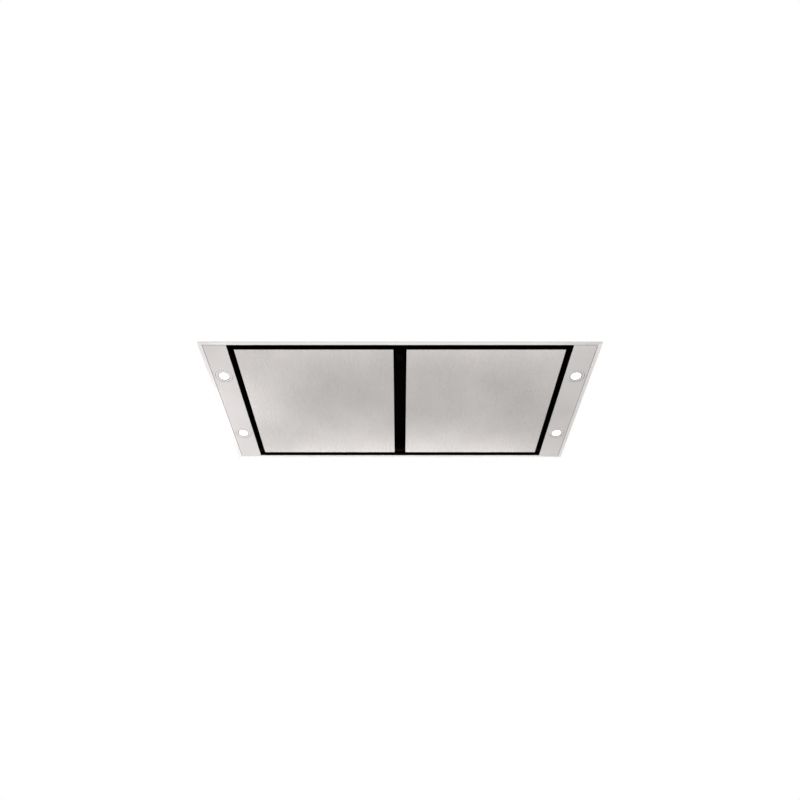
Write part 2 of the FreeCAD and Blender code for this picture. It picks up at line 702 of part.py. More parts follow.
def blower_scroll():
    outer = scroll_outline(SCROLL_T, outlet_z).extrude(X * 2 * scroll_x)
    outer.translate(X * -scroll_x)
    inner = scroll_outline(0, outlet_z + SCROLL_T).extrude(X * (2 * inner_scroll_x))
    inner.translate(X * -inner_scroll_x)
    shell = outer.cut(inner)
    lips = []
    for side in (-1, 1):
        start = V(side * scroll_x, axis_y, axis_z)
        shell = shell.cut(rod(inlet_r, 2 * SCROLL_T, start, X * -side))
        lips.append(tube(inlet_r + SCROLL_T, inlet_r, SCROLL_T + WHEEL_SIDE_GAP - LIP_GAP, start, X * -side))
    return join([shell] + lips)


def blade(index):
    """One forward-curved blade of the wheel, between the rim's two radii."""
    base = 360.0 * index / BLADES
    inner_r = wheel_in_r
    outer_r = wheel_r - WHEEL_RING_T / 2
    mid_r = (inner_r + outer_r) / 2
    spread = math.degrees(BLADE_T / mid_r)

    def spot(r, angle):
        turn = math.radians(base + angle)
        return V(0, axis_y + r * math.cos(turn), axis_z + r * math.sin(turn))

    first = Part.Arc(spot(inner_r, 0), spot(mid_r, BLADE_CURVE_DEG * 0.3), spot(outer_r, BLADE_CURVE_DEG))
    second = Part.Arc(spot(inner_r, spread), spot(mid_r, BLADE_CURVE_DEG * 0.3 + spread),
                      spot(outer_r, BLADE_CURVE_DEG + spread))
    ends = [Part.LineSegment(spot(inner_r, 0), spot(inner_r, spread)),
            Part.LineSegment(spot(outer_r, BLADE_CURVE_DEG), spot(outer_r, BLADE_CURVE_DEG + spread))]
    edges = [curve.toShape() for curve in (first, second, ends[0], ends[1])]
    plate = Part.Face(Part.Wire(Part.__sortEdges__(edges))).extrude(X * (WHEEL_W - 2 * WHEEL_RING_T))
    plate.translate(X * (WHEEL_RING_T - WHEEL_W / 2))
    return plate


def impeller():
    """Blades crimped into the notches of a middle disc, with a ring across each end."""
    blades = [blade(index) for index in range(BLADES)]
    disc = rod(wheel_r, WHEEL_RING_T, V(-WHEEL_RING_T / 2, axis_y, axis_z), X)
    hub = rod(HUB_R, HUB_W, V(-HUB_W / 2, axis_y, axis_z), X)
    shaft = rod(SHAFT_R, HUB_W, V(-HUB_W / 2, axis_y, axis_z), X)
    pieces = [join([disc, hub]).cut(blades + [shaft])]
    for x in (-WHEEL_W / 2, WHEEL_W / 2 - WHEEL_RING_T):
        pieces.append(tube(wheel_r, wheel_in_r + WHEEL_RING_T, WHEEL_RING_T, V(x, axis_y, axis_z), X))
    return pieces + blades


def motor_bracket():
    plate_x = -scroll_x - SPIDER_T
    hub = V(plate_x, axis_y, axis_z)
    boss_l = motor_x - MOTOR_W - plate_x
    parts = [rod(SPIDER_DISC_R, SPIDER_T, hub, X), rod(SPIDER_BOSS_R, boss_l, hub, X)]
    for turn in (30.0, 150.0, 270.0):
        reach = inlet_r + SPIDER_LAND
        half = SPIDER_ARM_W / 2
        arm = block(plate_x, plate_x + SPIDER_T, axis_y, axis_y + reach, axis_z - half, axis_z + half)
        arm.rotate(V(0, axis_y, axis_z), X, turn)
        parts.append(arm)
    return join(parts)


def motor():
    back_x = motor_x - MOTOR_W
    can = rod(wheel_in_r - MOTOR_GAP, MOTOR_W, V(back_x, axis_y, axis_z), X)
    can = can.makeFillet(MOTOR_EDGE_R, [edge for edge in can.Edges if edge.Closed])
    bore = rod(SHAFT_R + RUNNING_CLEARANCE, MOTOR_W, V(back_x + SHAFT_BACK, axis_y, axis_z), X)
    return can.cut(bore)


def hanger_angle():
    """Angle between the scroll's side and the rubber mounts under the top plate."""
    high = HOUSING_H - MOUNT_H
    low = axis_z + inlet_r + ANGLE_OVER_INLET
    y0 = axis_y - ANGLE_L / 2
    upright = block(scroll_x, scroll_x + ANGLE_T, y0, y0 + ANGLE_L, low, high)
    flange = block(scroll_x, scroll_x + ANGLE_W, y0, y0 + ANGLE_L, high - ANGLE_T, high)
    return join([upright, flange])


def make_blower():
    write("blower_scroll", blower_scroll())
    write("impeller", *impeller())
    write("motor", motor())
    start = motor_x - MOTOR_W + SHAFT_BACK + SLIDE_CLEARANCE
    end = HUB_W / 2 + SHAFT_OUT
    write("motor_shaft", rod(SHAFT_R, end - start, V(start, axis_y, axis_z), X))
    write("motor_bracket", motor_bracket())
    angle = hanger_angle()
    write("blower_hangers", angle, mirrored(angle))
    mounts = []
    for side in (-1, 1):
        for step in (-1, 1):
            x = side * (scroll_x + ANGLE_W / 2)
            mounts.append(rod(MOUNT_R, MOUNT_H, V(x, axis_y + step * MOUNT_SPREAD, HOUSING_H - MOUNT_H), Z))
    write("rubber_mounts", *mounts)


# ---- outlet and damper ----
def square_wire(half_x, half_y, z):
    corners = [V(half_x, half_y, 0), V(-half_x, half_y, 0), V(-half_x, -half_y, 0), V(half_x, -half_y, 0)]
    place = V(0, outlet_mid_y, z)
    spots = [corner + place for corner in corners]
    return Part.makePolygon(spots + [spots[0]])


def round_wire(radius, z):
    """A circle in four arcs that start at the corners of the square end."""
    edges = []
    place = V(0, outlet_mid_y, z)
    for quarter in range(4):
        angles = [math.radians(45 + 90 * quarter + step) for step in (0, 45, 90)]
        spots = [place + V(radius * math.cos(a), radius * math.sin(a), 0) for a in angles]
        edges.append(Part.Arc(*spots).toShape())
    return Part.Wire(edges)


def outlet_adapter():
    half_y = (outlet_far_y - outlet_near_y) / 2
    ends = []
    for grow in (ADAPTER_T, 0):
        low = square_wire(inner_scroll_x + grow, half_y + grow, outlet_z)
        high = round_wire(duct_in_r + grow, HOUSING_H)
        ends.append(Part.makeLoft([low, high], True, True))
    return ends[0].cut(ends[1])


def duct_collar():
    base = V(0, outlet_mid_y, top_z)
    shell = tube(DUCT_R, duct_in_r, DUCT_H, base, Z)
    flange = tube(DUCT_FLANGE_R, duct_in_r, DUCT_FLANGE_T, base, Z)
    limit = rod(DUCT_R - DUCT_T / 2, DUCT_H, base, Z)
    stops = []
    high = rod_z - FLAP_T / 2 - STOP_GAP
    for side in (-1, 1):
        near = outlet_mid_y + side * (duct_in_r - STOP_D)
        far = outlet_mid_y + side * DUCT_R
        stops.append(block(-STOP_W / 2, STOP_W / 2, near, far, high - STOP_H, high).common(limit))
    pin = rod(ROD_R + RUNNING_CLEARANCE, 2 * DUCT_R, V(-DUCT_R, outlet_mid_y, rod_z), X)
    return join([shell, flange] + stops).cut(pin)


def damper_flap(side, knuckle_start):
    """A half-round flap. side is +1 for the rear one and -1 for the front one."""
    disc = rod(flap_r, FLAP_T, V(0, outlet_mid_y, rod_z - FLAP_T / 2), Z)
    edge = outlet_mid_y + side * (KNUCKLE_R + FLAP_HINGE_GAP)
    half = block(-flap_r, flap_r, edge, outlet_mid_y + side * flap_r, rod_z - FLAP_T / 2, rod_z + FLAP_T / 2)
    parts = [disc.common(half)]
    for turn in (-1, 1):
        x0 = min(turn * knuckle_start, turn * (knuckle_start + KNUCKLE_L))
        parts.append(rod(KNUCKLE_R, KNUCKLE_L, V(x0, outlet_mid_y, rod_z), X))
        parts.append(block(x0, x0 + KNUCKLE_L, outlet_mid_y, edge, rod_z - FLAP_T / 2, rod_z + FLAP_T / 2))
    bore = rod(ROD_R + RUNNING_CLEARANCE, 2 * flap_r, V(-flap_r, outlet_mid_y, rod_z), X)
    return join(parts).cut(bore)


def make_outlet():
    write("outlet_adapter", outlet_adapter())
    write("duct_collar", duct_collar())
    half = DUCT_R - ROD_END_GAP
    write("damper_rod", rod(ROD_R, 2 * half, V(-half, outlet_mid_y, rod_z), X))
    write("damper_flap_rear", damper_flap(1, KNUCKLE_FAR))
    write("damper_flap_front", damper_flap(-1, KNUCKLE_NEAR))


# ---- electrics ----
def control_box():
    x0 = box_x - BOX_W / 2
    y1 = BOX_D / 2
    low = HOUSING_H - BOX_H
    outer = block(x0, x0 + BOX_W, -y1, y1, low, HOUSING_H)
    inner = block(x0 + BOX_T, x0 + BOX_W - BOX_T, BOX_T - y1, y1 - BOX_T, low, HOUSING_H - BOX_T)
    hole = rod(GLAND_R + SCREW_CLEARANCE, BOX_T, V(box_x, 0, HOUSING_H - BOX_T), Z)
    return outer.cut([inner, hole])


def control_lid():
    low = HOUSING_H - BOX_H
    x0 = box_x - BOX_W / 2 - LID_T
    x1 = box_x + BOX_W / 2 + LID_T
    y1 = BOX_D / 2 + LID_T
    outer = block(x0, x1, -y1, y1, low - LID_T, low + LID_LIP)
    inner = block(x0 + LID_T, x1 - LID_T, LID_T - y1, y1 - LID_T, low, low + LID_LIP)
    return outer.cut(inner)


def terminal_block():
    x0 = box_x + TERMINAL_OFFSET - TERMINAL_W / 2
    high = HOUSING_H - BOX_T
    low = high - TERMINAL_H
    body = block(x0, x0 + TERMINAL_W, -TERMINAL_D / 2, TERMINAL_D / 2, low, high)
    pitch = TERMINAL_W / TERMINAL_WAYS
    holes = []
    for way in range(TERMINAL_WAYS):
        x = x0 + pitch * (way + 0.5)
        holes.append(rod(TERMINAL_HOLE_R, TERMINAL_H / 2, V(x, 0, low), Z))
    return body.cut(holes)


def hexagon(radius, height, x, z):
    turns = [math.radians(60 * corner) for corner in range(7)]
    spots = [V(x + radius * math.cos(turn), radius * math.sin(turn), z) for turn in turns]
    return Part.Face(Part.makePolygon(spots)).extrude(Z * height)


def cable_gland():
    under = HOUSING_H - BOX_T
    thread = rod(GLAND_R, top_z - under + NUT_H, V(box_x, 0, under - NUT_H), Z)
    nut = hexagon(GLAND_HEX_R, NUT_H, box_x, under - NUT_H)
    collar = hexagon(GLAND_HEX_R, GLAND_HEX_H, box_x, top_z)
    dome = rod(GLAND_DOME_R, GLAND_DOME_H, V(box_x, 0, top_z + GLAND_HEX_H), Z)
    rims = [edge for edge in dome.Edges if edge.Closed and edge.CenterOfMass.z > top_z + GLAND_DOME_H]
    dome = dome.makeFillet((GLAND_DOME_R - GLAND_BORE_R) * 0.6, rims)
    bore = rod(GLAND_BORE_R, 2 * GLAND_DOME_H + HANG_H, V(box_x, 0, under - NUT_H), Z)
    return join([thread, nut, collar, dome]).cut(bore)


def make_electrics():
    write("control_box", control_box())
    write("control_lid", control_lid())
    write("terminal_block", terminal_block())
    write("cable_gland", cable_gland())


os.makedirs("parts", exist_ok=True)
make_trim_frame()
make_ceiling_gasket()
make_light_strips()
make_lamps()
make_panels()
make_inlet()
make_filters()
make_housing()
make_screws()
make_blower()
make_outlet()
make_electrics()
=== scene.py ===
# %% [markdown]
# This is a range hood that is set flush into a ceiling. Only its face shows in the kitchen:
# a stainless rim, two light strips with spot lamps, and two large brushed panels with a black
# suction slot all round each. We start by loading the imported model, because every piece that
# is modelled here has to sit on it.

# %% Load the frame
import math

import bmesh
import bpy
from mathutils import Matrix, Vector


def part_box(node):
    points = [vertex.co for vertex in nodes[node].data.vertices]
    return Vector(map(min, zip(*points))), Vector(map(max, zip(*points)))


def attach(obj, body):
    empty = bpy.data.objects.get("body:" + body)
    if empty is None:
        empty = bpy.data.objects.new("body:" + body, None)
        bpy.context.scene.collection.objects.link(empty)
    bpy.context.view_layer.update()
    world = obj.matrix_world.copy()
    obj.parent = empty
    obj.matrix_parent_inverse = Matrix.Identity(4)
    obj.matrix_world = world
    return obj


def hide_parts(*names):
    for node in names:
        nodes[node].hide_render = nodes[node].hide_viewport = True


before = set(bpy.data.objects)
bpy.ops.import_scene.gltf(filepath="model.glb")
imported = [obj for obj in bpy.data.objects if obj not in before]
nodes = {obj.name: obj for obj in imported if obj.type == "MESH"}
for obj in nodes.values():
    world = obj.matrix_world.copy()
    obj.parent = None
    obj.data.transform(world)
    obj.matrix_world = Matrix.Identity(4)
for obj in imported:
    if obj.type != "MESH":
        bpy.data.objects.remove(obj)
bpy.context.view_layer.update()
MM = 0.001

# %% [markdown]
# The photograph looks up at the ceiling from about 1.2 m below it and 1.5 m in front of the
# hood's middle. A normal lens with no shift gives its converging sides, so the camera is
# simply placed there and tilted up.

# %% Camera
camera_data = bpy.data.cameras.new("photo_camera")
camera_data.lens = 26.46
camera_data.sensor_width = 36
camera = bpy.data.objects.new("photo_camera", camera_data)
camera.location = (0, -1.524, -1.242)
camera.rotation_euler = (math.radians(129.8), 0, 0)
bpy.context.scene.collection.objects.link(camera)
bpy.context.scene.camera = camera
print("camera at", tuple(round(c, 3) for c in camera.location))

# %% [markdown]
# Every finish is a small node tree. Three helpers carry them all: one turns an ordinary sRGB
# hex colour into the linear numbers that shaders use, one adds a node with its settings and
# links, and one starts a finish with its shader and the object coordinates it reads.


# %% Helpers for finishes
def linear(code):
    """sRGB hex such as B8B8B4 as a linear RGBA colour."""
    channels = [int(code[i:i + 2], 16) / 255 for i in (0, 2, 4)]
    return tuple(c / 12.92 if c <= 0.04045 else ((c + 0.055) / 1.055) ** 2.4 for c in channels) + (1.0,)


def add(tree, kind, inputs, out=0, **settings):
    """Adds a node, sets and links its inputs, and gives back one of its outputs."""
    made = tree.nodes.new("ShaderNode" + kind)
    for key, value in settings.items():
        setattr(made, key, value)
    for key, value in inputs.items():
        if isinstance(value, bpy.types.NodeSocket):
            tree.links.new(value, made.inputs[key])
        else:
            made.inputs[key].default_value = linear(value) if isinstance(value, str) else value
    return made.outputs[out] if made.outputs else made


def start_finish(name, constants):
    """A new finish: its tree, its shader, and the place on the object that patterns read."""
    material = bpy.data.materials.new(name)
    material.use_nodes = True
    tree = material.node_tree
    tree.nodes.clear()
    shader = add(tree, "BsdfPrincipled", constants).node
    add(tree, "OutputMaterial", {"Surface": shader.outputs[0]})
    return material, shader, add(tree, "TexCoord", {}, out=3)


def feed(shader, sockets):
    """Links pattern outputs to the shader."""
    for name, value in sockets.items():
        shader.id_data.links.new(value, shader.inputs[name])


print("mid grey 808080 is", round(linear("808080")[0], 3), "in linear light")

# %% [markdown]
# Brushed stainless steel is 304 sheet drawn under an abrasive belt: a metal with very long,
# narrow scratches. The real ones are about 0.1 mm apart, finer than a pixel here, so they are
# drawn 2 to 3 mm wide and faint. The scratches spread a reflection across the belt's way and
# hardly along it, which the shader's anisotropy does. A broad, soft cloud on top is the
# slightly uneven polish that a large sheet always has.


# %% Brushed stainless steel
def brushed(name, dark, light, streak_mm, rough, along=1):
    """Brushed sheet with scratches along X (0) or Y (1)."""
    material, shader, place = start_finish(name, {"Metallic": 1.0, "Anisotropic": 0.7})
    tree = material.node_tree
    layers = []
    for wide, long_side in ((streak_mm, 170), (streak_mm * 0.45, 60), (170, 210)):
        stretch = [1 / (wide * MM)] * 3
        stretch[along] = 1 / (long_side * MM)
        spot = add(tree, "Mapping", {"Vector": place, "Scale": stretch})
        layers.append(add(tree, "TexNoise", {"Vector": spot, "Scale": 1.0, "Detail": 2.0}))
    hair = add(tree, "Math", {0: layers[0], 1: layers[1]}, operation="ADD")
    tone = add(tree, "Math", {0: hair, 1: 0.14, 2: layers[2]}, operation="MULTIPLY_ADD")
    share = add(tree, "MapRange", {"Value": tone, "From Min": 0.45, "From Max": 0.92})
    gloss = {"Value": hair, "From Min": 0.7, "From Max": 1.3,
             "To Min": rough + 0.012, "To Max": rough - 0.012}
    # Reflections spread across the scratches. The direction is slightly askew, so that it is
    # never square to a folded wall, where it would have no meaning.
    across = (1.0, 0.03, 0.02) if along else (0.03, 1.0, 0.02)
    spread = add(tree, "VectorTransform", {"Vector": across}, vector_type="VECTOR", convert_from="OBJECT",
                 convert_to="WORLD")
    lines = add(tree, "Bump", {"Height": hair, "Distance": 0.02 * MM, "Strength": 0.02})
    feed(shader, {"Base Color": add(tree, "Mix", {0: share, 6: dark, 7: light}, out=2, data_type="RGBA"),
                  "Roughness": add(tree, "MapRange", gloss), "Tangent": spread, "Normal": lines})
    return material


panel_sheet = brushed("brushed_304_panel_sheet", "CFCBCA", "DCD8D7", 3.0, 0.28)
strip_sheet = brushed("brushed_304_strip_sheet", "D4D0D0", "DFDBDB", 2.4, 0.35)
rim_long = brushed("brushed_304_rim_along_x", "EAE7E7", "F3F1F1", 1.8, 0.3, along=0)
rim_short = brushed("brushed_304_rim_along_y", "EAE7E7", "F3F1F1", 1.8, 0.3, along=1)
print("brushed sheets: 4")

# %% [markdown]
# Most other finishes have no direction: powder coat, moulded plastic, enamel, zinc plate,
# anodised metal, rubber and foam. They differ in colour, gloss, grain size and grain height,
# so one recipe serves them: a fine grain for the relief and gloss, and a broad cloud between
# two close colours, because no real surface has exactly one.


# %% Finishes with an even grain
def grained(name, dark, light, grain_mm, relief_mm, rough, metal=0.0, specular=0.5, cloud_mm=45):
    """A finish with an even grain of grain_mm that stands relief_mm high."""
    material, shader, place = start_finish(name, {"Metallic": metal, "Specular IOR Level": specular})
    tree = material.node_tree
    grain = add(tree, "TexNoise", {"Vector": place, "Scale": 1 / (grain_mm * MM), "Detail": 2.0})
    cloud = add(tree, "TexNoise", {"Vector": place, "Scale": 1 / (cloud_mm * MM), "Detail": 5.0})
    share = add(tree, "MapRange", {"Value": cloud, "From Min": 0.3, "From Max": 0.7})
    gloss = {"Value": grain, "From Min": 0.3, "From Max": 0.7,
             "To Min": rough - 0.05, "To Max": rough + 0.07}
    relief = {"Height": grain, "Distance": relief_mm * MM, "Strength": 0.8}
    feed(shader, {"Base Color": add(tree, "Mix", {0: share, 6: dark, 7: light}, out=2, data_type="RGBA"),
                  "Roughness": add(tree, "MapRange", gloss), "Normal": add(tree, "Bump", relief)})
    return material


finishes = {
    # Matt powder coat with fine orange peel, painted near black with almost no reflection: black paint plus
    # painted shade, so the slots read as black.
    "black_coated_steel": grained("black_powder_coat_painted_shade", "010101", "030303", 1.2, 0.03, 0.85, 0, 0.04),
    # The same coat without the painted shade, where daylight reaches it, on the inner face of an open
    # panel.
    "pan_coat": grained("satin_black_powder_coat", "0E0E0F", "151516", 1.2, 0.03, 0.5, 0, 0.4),
    # Smoked acrylic lets the remote's light through and looks like dark glass.
    "black_gloss_plastic": grained("smoked_acrylic_window", "010101", "020202", 8, 0.01, 0.42, 0, 0.02),
    # Glass-filled nylon, spark-eroded mould: an even dull black with a fine grain.
    "black_plastic": grained("moulded_black_nylon", "151617", "1E1F20", 0.9, 0.05, 0.52),
    # The same nylon painted darker, as shade for the dark of the slot where no light reaches it.
    "hinge_nylon_painted_shade": grained("black_nylon_painted_shade", "040404", "070707", 0.9, 0.05, 0.75, 0, 0.08),
    # Moulded ABS of the blower's casing, mid grey with a soft grain.
    "grey_plastic": grained("moulded_grey_abs", "7E8183", "8B8E90", 1.1, 0.05, 0.5),
    # Galvanised blades that are dulled by the forming oil.
    "dark_plastic": grained("dull_galvanised_blades", "7A7D80", "8F9295", 5, 0.02, 0.42, 1.0),
    # Thin polypropylene of the damper, slightly waxy.
    "flap_plastic": grained("moulded_black_polypropylene", "1B1C1E", "26272A", 1.0, 0.04, 0.42),
    # Urea terminal block, creamy white and a little glossy.
    "white_plastic": grained("moulded_white_urea", "D8D5CB", "E4E1D8", 0.8, 0.02, 0.35),
    # Stoved enamel of the motor can, with a low orange peel.
    "painted_motor": grained("stoved_black_enamel", "1A1B1D", "27282A", 1.6, 0.03, 0.4),
    # Closed-cell foam: small cells, no shine.
    "foam_seal": grained("closed_cell_foam", "2A2A2B", "3B3B3C", 0.8, 0.25, 0.9, 0, 0.2, 6),
    # Moulded rubber, dusty black.
    "black_rubber": grained("moulded_black_rubber", "141414", "202020", 0.7, 0.04, 0.68, 0, 0.35),
    # Black oxide on the hinge pins, so that they don't shine in the slot.
    "hinge_pins": grained("black_oxide_steel", "0A0A0B", "121213", 0.6, 0.01, 0.5, 0, 0.1),
    # Stainless sheet as it leaves the mill, where the brushing belt doesn't reach, painted much darker as
    # the shade in the rim's joint.
    "fold_painted_shade": grained("mill_stainless_painted_shade", "8E8B8B", "9A9797", 2.0, 0.01, 0.42, 1.0),
    # Bright zinc plate with a bluish passivation.
    "zinc_screws": grained("blue_zinc_plate", "B9C0C6", "D0D3D2", 1.5, 0.01, 0.28, 1.0, 0.5, 4),
    # Ground shaft steel, clean and bright.
    "steel_shaft": grained("ground_steel", "B4B4B2", "C6C6C4", 0.6, 0.01, 0.24, 1.0),
    # Nickel plate on the magnet pots, warm and shiny.
    "nickel_magnets": grained("nickel_plate", "BDB8AE", "CFCAC0", 2.0, 0.01, 0.22, 1.0),
    # Spring steel strip, bright rolled.
    "latch_steel": grained("rolled_spring_steel", "A9AAAA", "C0C1C1", 2.0, 0.01, 0.3, 1.0),
    # Satin nickel of the lamp rings, softly blasted.
    "satin_lamp_ring": grained("satin_nickel_ring", "D9D5D5", "E1DEDE", 0.7, 0.01, 0.3, 1.0),
    # Grey silicone of the lens seal, dark enough to paint the shade of the gap round the lens.
    "lens_seal": grained("grey_silicone_and_painted_shade", "525050", "605E5E", 0.6, 0.02, 0.6, 0, 0.3),
    # Natural anodised die casting: pale, matt and slightly sparkling.
    "anodised_aluminium": grained("natural_anodised_aluminium", "A7A9AB", "BBBDBE", 0.8, 0.03, 0.45, 1.0),
    # Mill finish aluminium of the rolled filter frame.
    "filter_aluminium": grained("mill_finish_aluminium", "B9BBBC", "CBCCCC", 3.0, 0.015, 0.32, 1.0),
    # Slit and stretched foil of the grease mesh.
    "filter_mesh_aluminium": grained("expanded_aluminium_foil", "C3C4C4", "D6D6D5", 1.5, 0.03, 0.45, 1.0),
}
print("even finishes:", len(finishes))

# %% [markdown]
# The housing is hot-dip galvanised sheet. Zinc freezes into flat crystals about 8 to 20 mm
# across, called spangle, and each one throws the light a little differently. Voronoi cells
# have that shape: the cell's random colour picks its grey and its gloss.


# %% Galvanised sheet
def galvanised(name, spangle_mm, dark, light):
    """Zinc with crystals about spangle_mm across."""
    material, shader, place = start_finish(name, {"Metallic": 1.0})
    tree = material.node_tree
    warp = add(tree, "TexNoise", {"Vector": place, "Scale": 1 / (spangle_mm * MM), "Detail": 3.0}, out=1)
    bent = add(tree, "Mix", {0: 0.0, 1: (0.006,) * 3, 4: place, 5: warp}, out=1, data_type="VECTOR",
               factor_mode="NON_UNIFORM")
    cells = add(tree, "TexVoronoi", {"Vector": bent, "Scale": 1 / (spangle_mm * MM)}, out=1)
    pick = add(tree, "SeparateColor", {0: cells})
    gloss = add(tree, "SeparateColor", {0: cells}, out=1)
    feather = add(tree, "TexNoise", {"Vector": place, "Scale": 1 / (3 * MM), "Detail": 4.0})
    colour = add(tree, "Mix", {0: pick, 6: dark, 7: light}, out=2, data_type="RGBA")
    feed(shader, {"Base Color": colour,
                  "Roughness": add(tree, "MapRange", {"Value": gloss, "To Min": 0.36, "To Max": 0.46}),
                  "Normal": add(tree, "Bump", {"Height": feather, "Distance": 0.03 * MM, "Strength": 0.5})})
    return material


finishes["galvanised_steel"] = galvanised("spangled_galvanised_sheet", 12, "A9ACAF", "B5B8BA")
finishes["galvanised_steel_thick"] = galvanised("spangled_galvanised_plate", 8, "9DA1A3", "ABAEB0")
finishes["brushed_stainless_panel"] = panel_sheet
finishes["brushed_stainless_trim"] = strip_sheet
print("galvanised: spangle 12 mm on sheet, 8 mm on plate")

# %% [markdown]
# The lamps are switched on in the photograph. Their lens is frosted acrylic over LEDs: it
# glows evenly, and only its fine prisms, drawn here 1.2 mm wide, break up the white a little.
# The strength stays near 1, so that the lens is white without lighting the room.

# %% Lit lens
lens_finish, lens_shader, lens_place = start_finish("frosted_lit_acrylic", {
    "Base Color": "F4F3F0", "Roughness": 0.35, "Emission Strength": 1.1})
lens_tree = lens_finish.node_tree
prisms = add(lens_tree, "TexVoronoi", {"Vector": lens_place, "Scale": 1 / (1.2 * MM)})
feed(lens_shader, {
    "Emission Color": add(lens_tree, "Mix", {0: prisms, 6: "FFFFFF", 7: "F1EFEA"}, out=2, data_type="RGBA"),
    "Normal": add(lens_tree, "Bump", {"Height": prisms, "Distance": 0.1 * MM, "Strength": 0.5})})
finishes["lit_lens"] = lens_finish
# The same acrylic where no light reaches it: a pale grey edge.
finishes["lens_edge"] = grained("frosted_unlit_acrylic", "BDBABA", "C9C6C6", 1.2, 0.03, 0.4)
for node in nodes.values():
    for place_in_mesh in node.material_slots:
        place_in_mesh.material = finishes[place_in_mesh.material.name.split(".")[0]]
print("every CAD node has its finish:", len(finishes), "finishes")

# %% [markdown]
# Shapes are built in millimetres with bmesh and shown in metres. To place a piece we need the
# box of the CAD node that it stands for. Folded and moulded edges need a bevel, and because
# the defaults of bmesh differ from the editor's, its settings are written out once, here.


# %% Box of a node, and soft edges
def box_mm(node):
    """Lowest and highest corner of a CAD node in millimetres."""
    low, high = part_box(node)
    return Vector(low) / MM, Vector(high) / MM


def soften(bm, edges, offset, segments=2):
    """Rounds edges by offset."""
    bmesh.ops.bevel(bm, geom=list(edges), offset=offset, segments=segments, profile=0.5,
                    affect="EDGES", material=-1, clamp_overlap=True)


rim_low, rim_high = box_mm("trim_frame")
print("the face is", round(rim_high.x - rim_low.x, 1), "by", round(rim_high.y - rim_low.y, 1), "mm")

# %% [markdown]
# Most pieces of a sheet metal object are one outline. A frame's outline is carried round a
# rectangle with mitred corners, and a ring's or a screw's is spun round an axis. So two
# helpers take an outline as a few points, and bridging and spin make all the faces.


# %% Outlines carried round and spun
def swept_round(bm, outline, low, high):
    """Carries a closed outline of (inset, height) points round a rectangle."""
    rings = []
    for inset, height in outline:
        left, near, right, far = low.x + inset, low.y + inset, high.x - inset, high.y - inset
        spots = ((left, near), (right, near), (right, far), (left, far))
        verts = [bm.verts.new((x, y, height)) for x, y in spots]
        rings.append([bm.edges.new((verts[i - 1], verts[i])) for i in range(4)])
    for here, there in zip(rings, rings[1:] + rings[:1]):
        bmesh.ops.bridge_loops(bm, edges=here + there)


def turned(bm, outline, centre, direction=(0, 0, 1), steps=48):
    """Spins an outline of (radius, height) points, closed or from axis to axis."""
    before = set(bm.verts)
    verts = [bm.verts.new((radius, 0, height)) for radius, height in outline]
    pairs = list(zip(verts, verts[1:])) + ([(verts[-1], verts[0])] if outline[0][0] > 0 else [])
    edges = [bm.edges.new(pair) for pair in pairs]
    bmesh.ops.spin(bm, geom=verts + edges, cent=(0, 0, 0), axis=(0, 0, 1), angle=math.tau,
                   steps=steps, use_merge=True)
    aim = Vector((0, 0, 1)).rotation_difference(Vector(direction)).to_matrix().to_4x4()
    new = [v for v in bm.verts if v not in before]
    bmesh.ops.transform(bm, matrix=Matrix.Translation(Vector(centre)) @ aim, verts=new)
    return new


print("outlines are carried round a rectangle or spun round an axis")

# %% [markdown]
# Every piece is finished in the same way. Doubled points are merged, the faces are turned
# outwards, folds sharper than the crease angle are marked, and the piece is put on its body,
# so that it moves with it. Weighted normals keep flat faces flat: without them the rounded
# edges would make each sheet look like a pillow.


# %% Finishing a piece
def show(bm, name, body, slot, stands_for=(), crease=35, others=()):
    """Finishes a shape in millimetres as a piece on a body. It may replace CAD nodes."""
    bmesh.ops.remove_doubles(bm, verts=bm.verts, dist=0.002)
    bmesh.ops.recalc_face_normals(bm, faces=bm.faces)
    bmesh.ops.scale(bm, vec=(MM, MM, MM), verts=bm.verts)
    for face in bm.faces:
        face.smooth = True
    for edge in bm.edges:
        edge.smooth = len(edge.link_faces) == 2 and edge.calc_face_angle() < math.radians(crease)
    mesh = bpy.data.meshes.new(name)
    bm.to_mesh(mesh)
    bm.free()
    piece = bpy.data.objects.new(name, mesh)
    bpy.context.scene.collection.objects.link(piece)
    mesh.materials.append(finishes[slot])
    for finish in others:
        mesh.materials.append(finish)
    piece.modifiers.new("even_shading", "WEIGHTED_NORMAL").keep_sharp = True
    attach(piece, body)
    if stands_for:
        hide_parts(*stands_for)
    return piece


print("finishing: doubles, normals, folds, body")

# %% [markdown]
# The rim is an L-shaped strip of stainless steel, mitred and welded at its corners. Its flat
# leg covers the edge of the ceiling's cut-out, and its upright leg holds it in the housing.
# Carrying the L round a rectangle gives the mitres for free. The bend between the legs has a
# radius of 1.1 mm, drawn with three flats. The belt doesn't reach the bend, and its unbrushed
# finish is painted much darker as the shade of the joint, a fine line along the strips. The
# grain of each bar runs along the bar and changes at the mitre, so the two short bars get the
# finish that runs along Y.

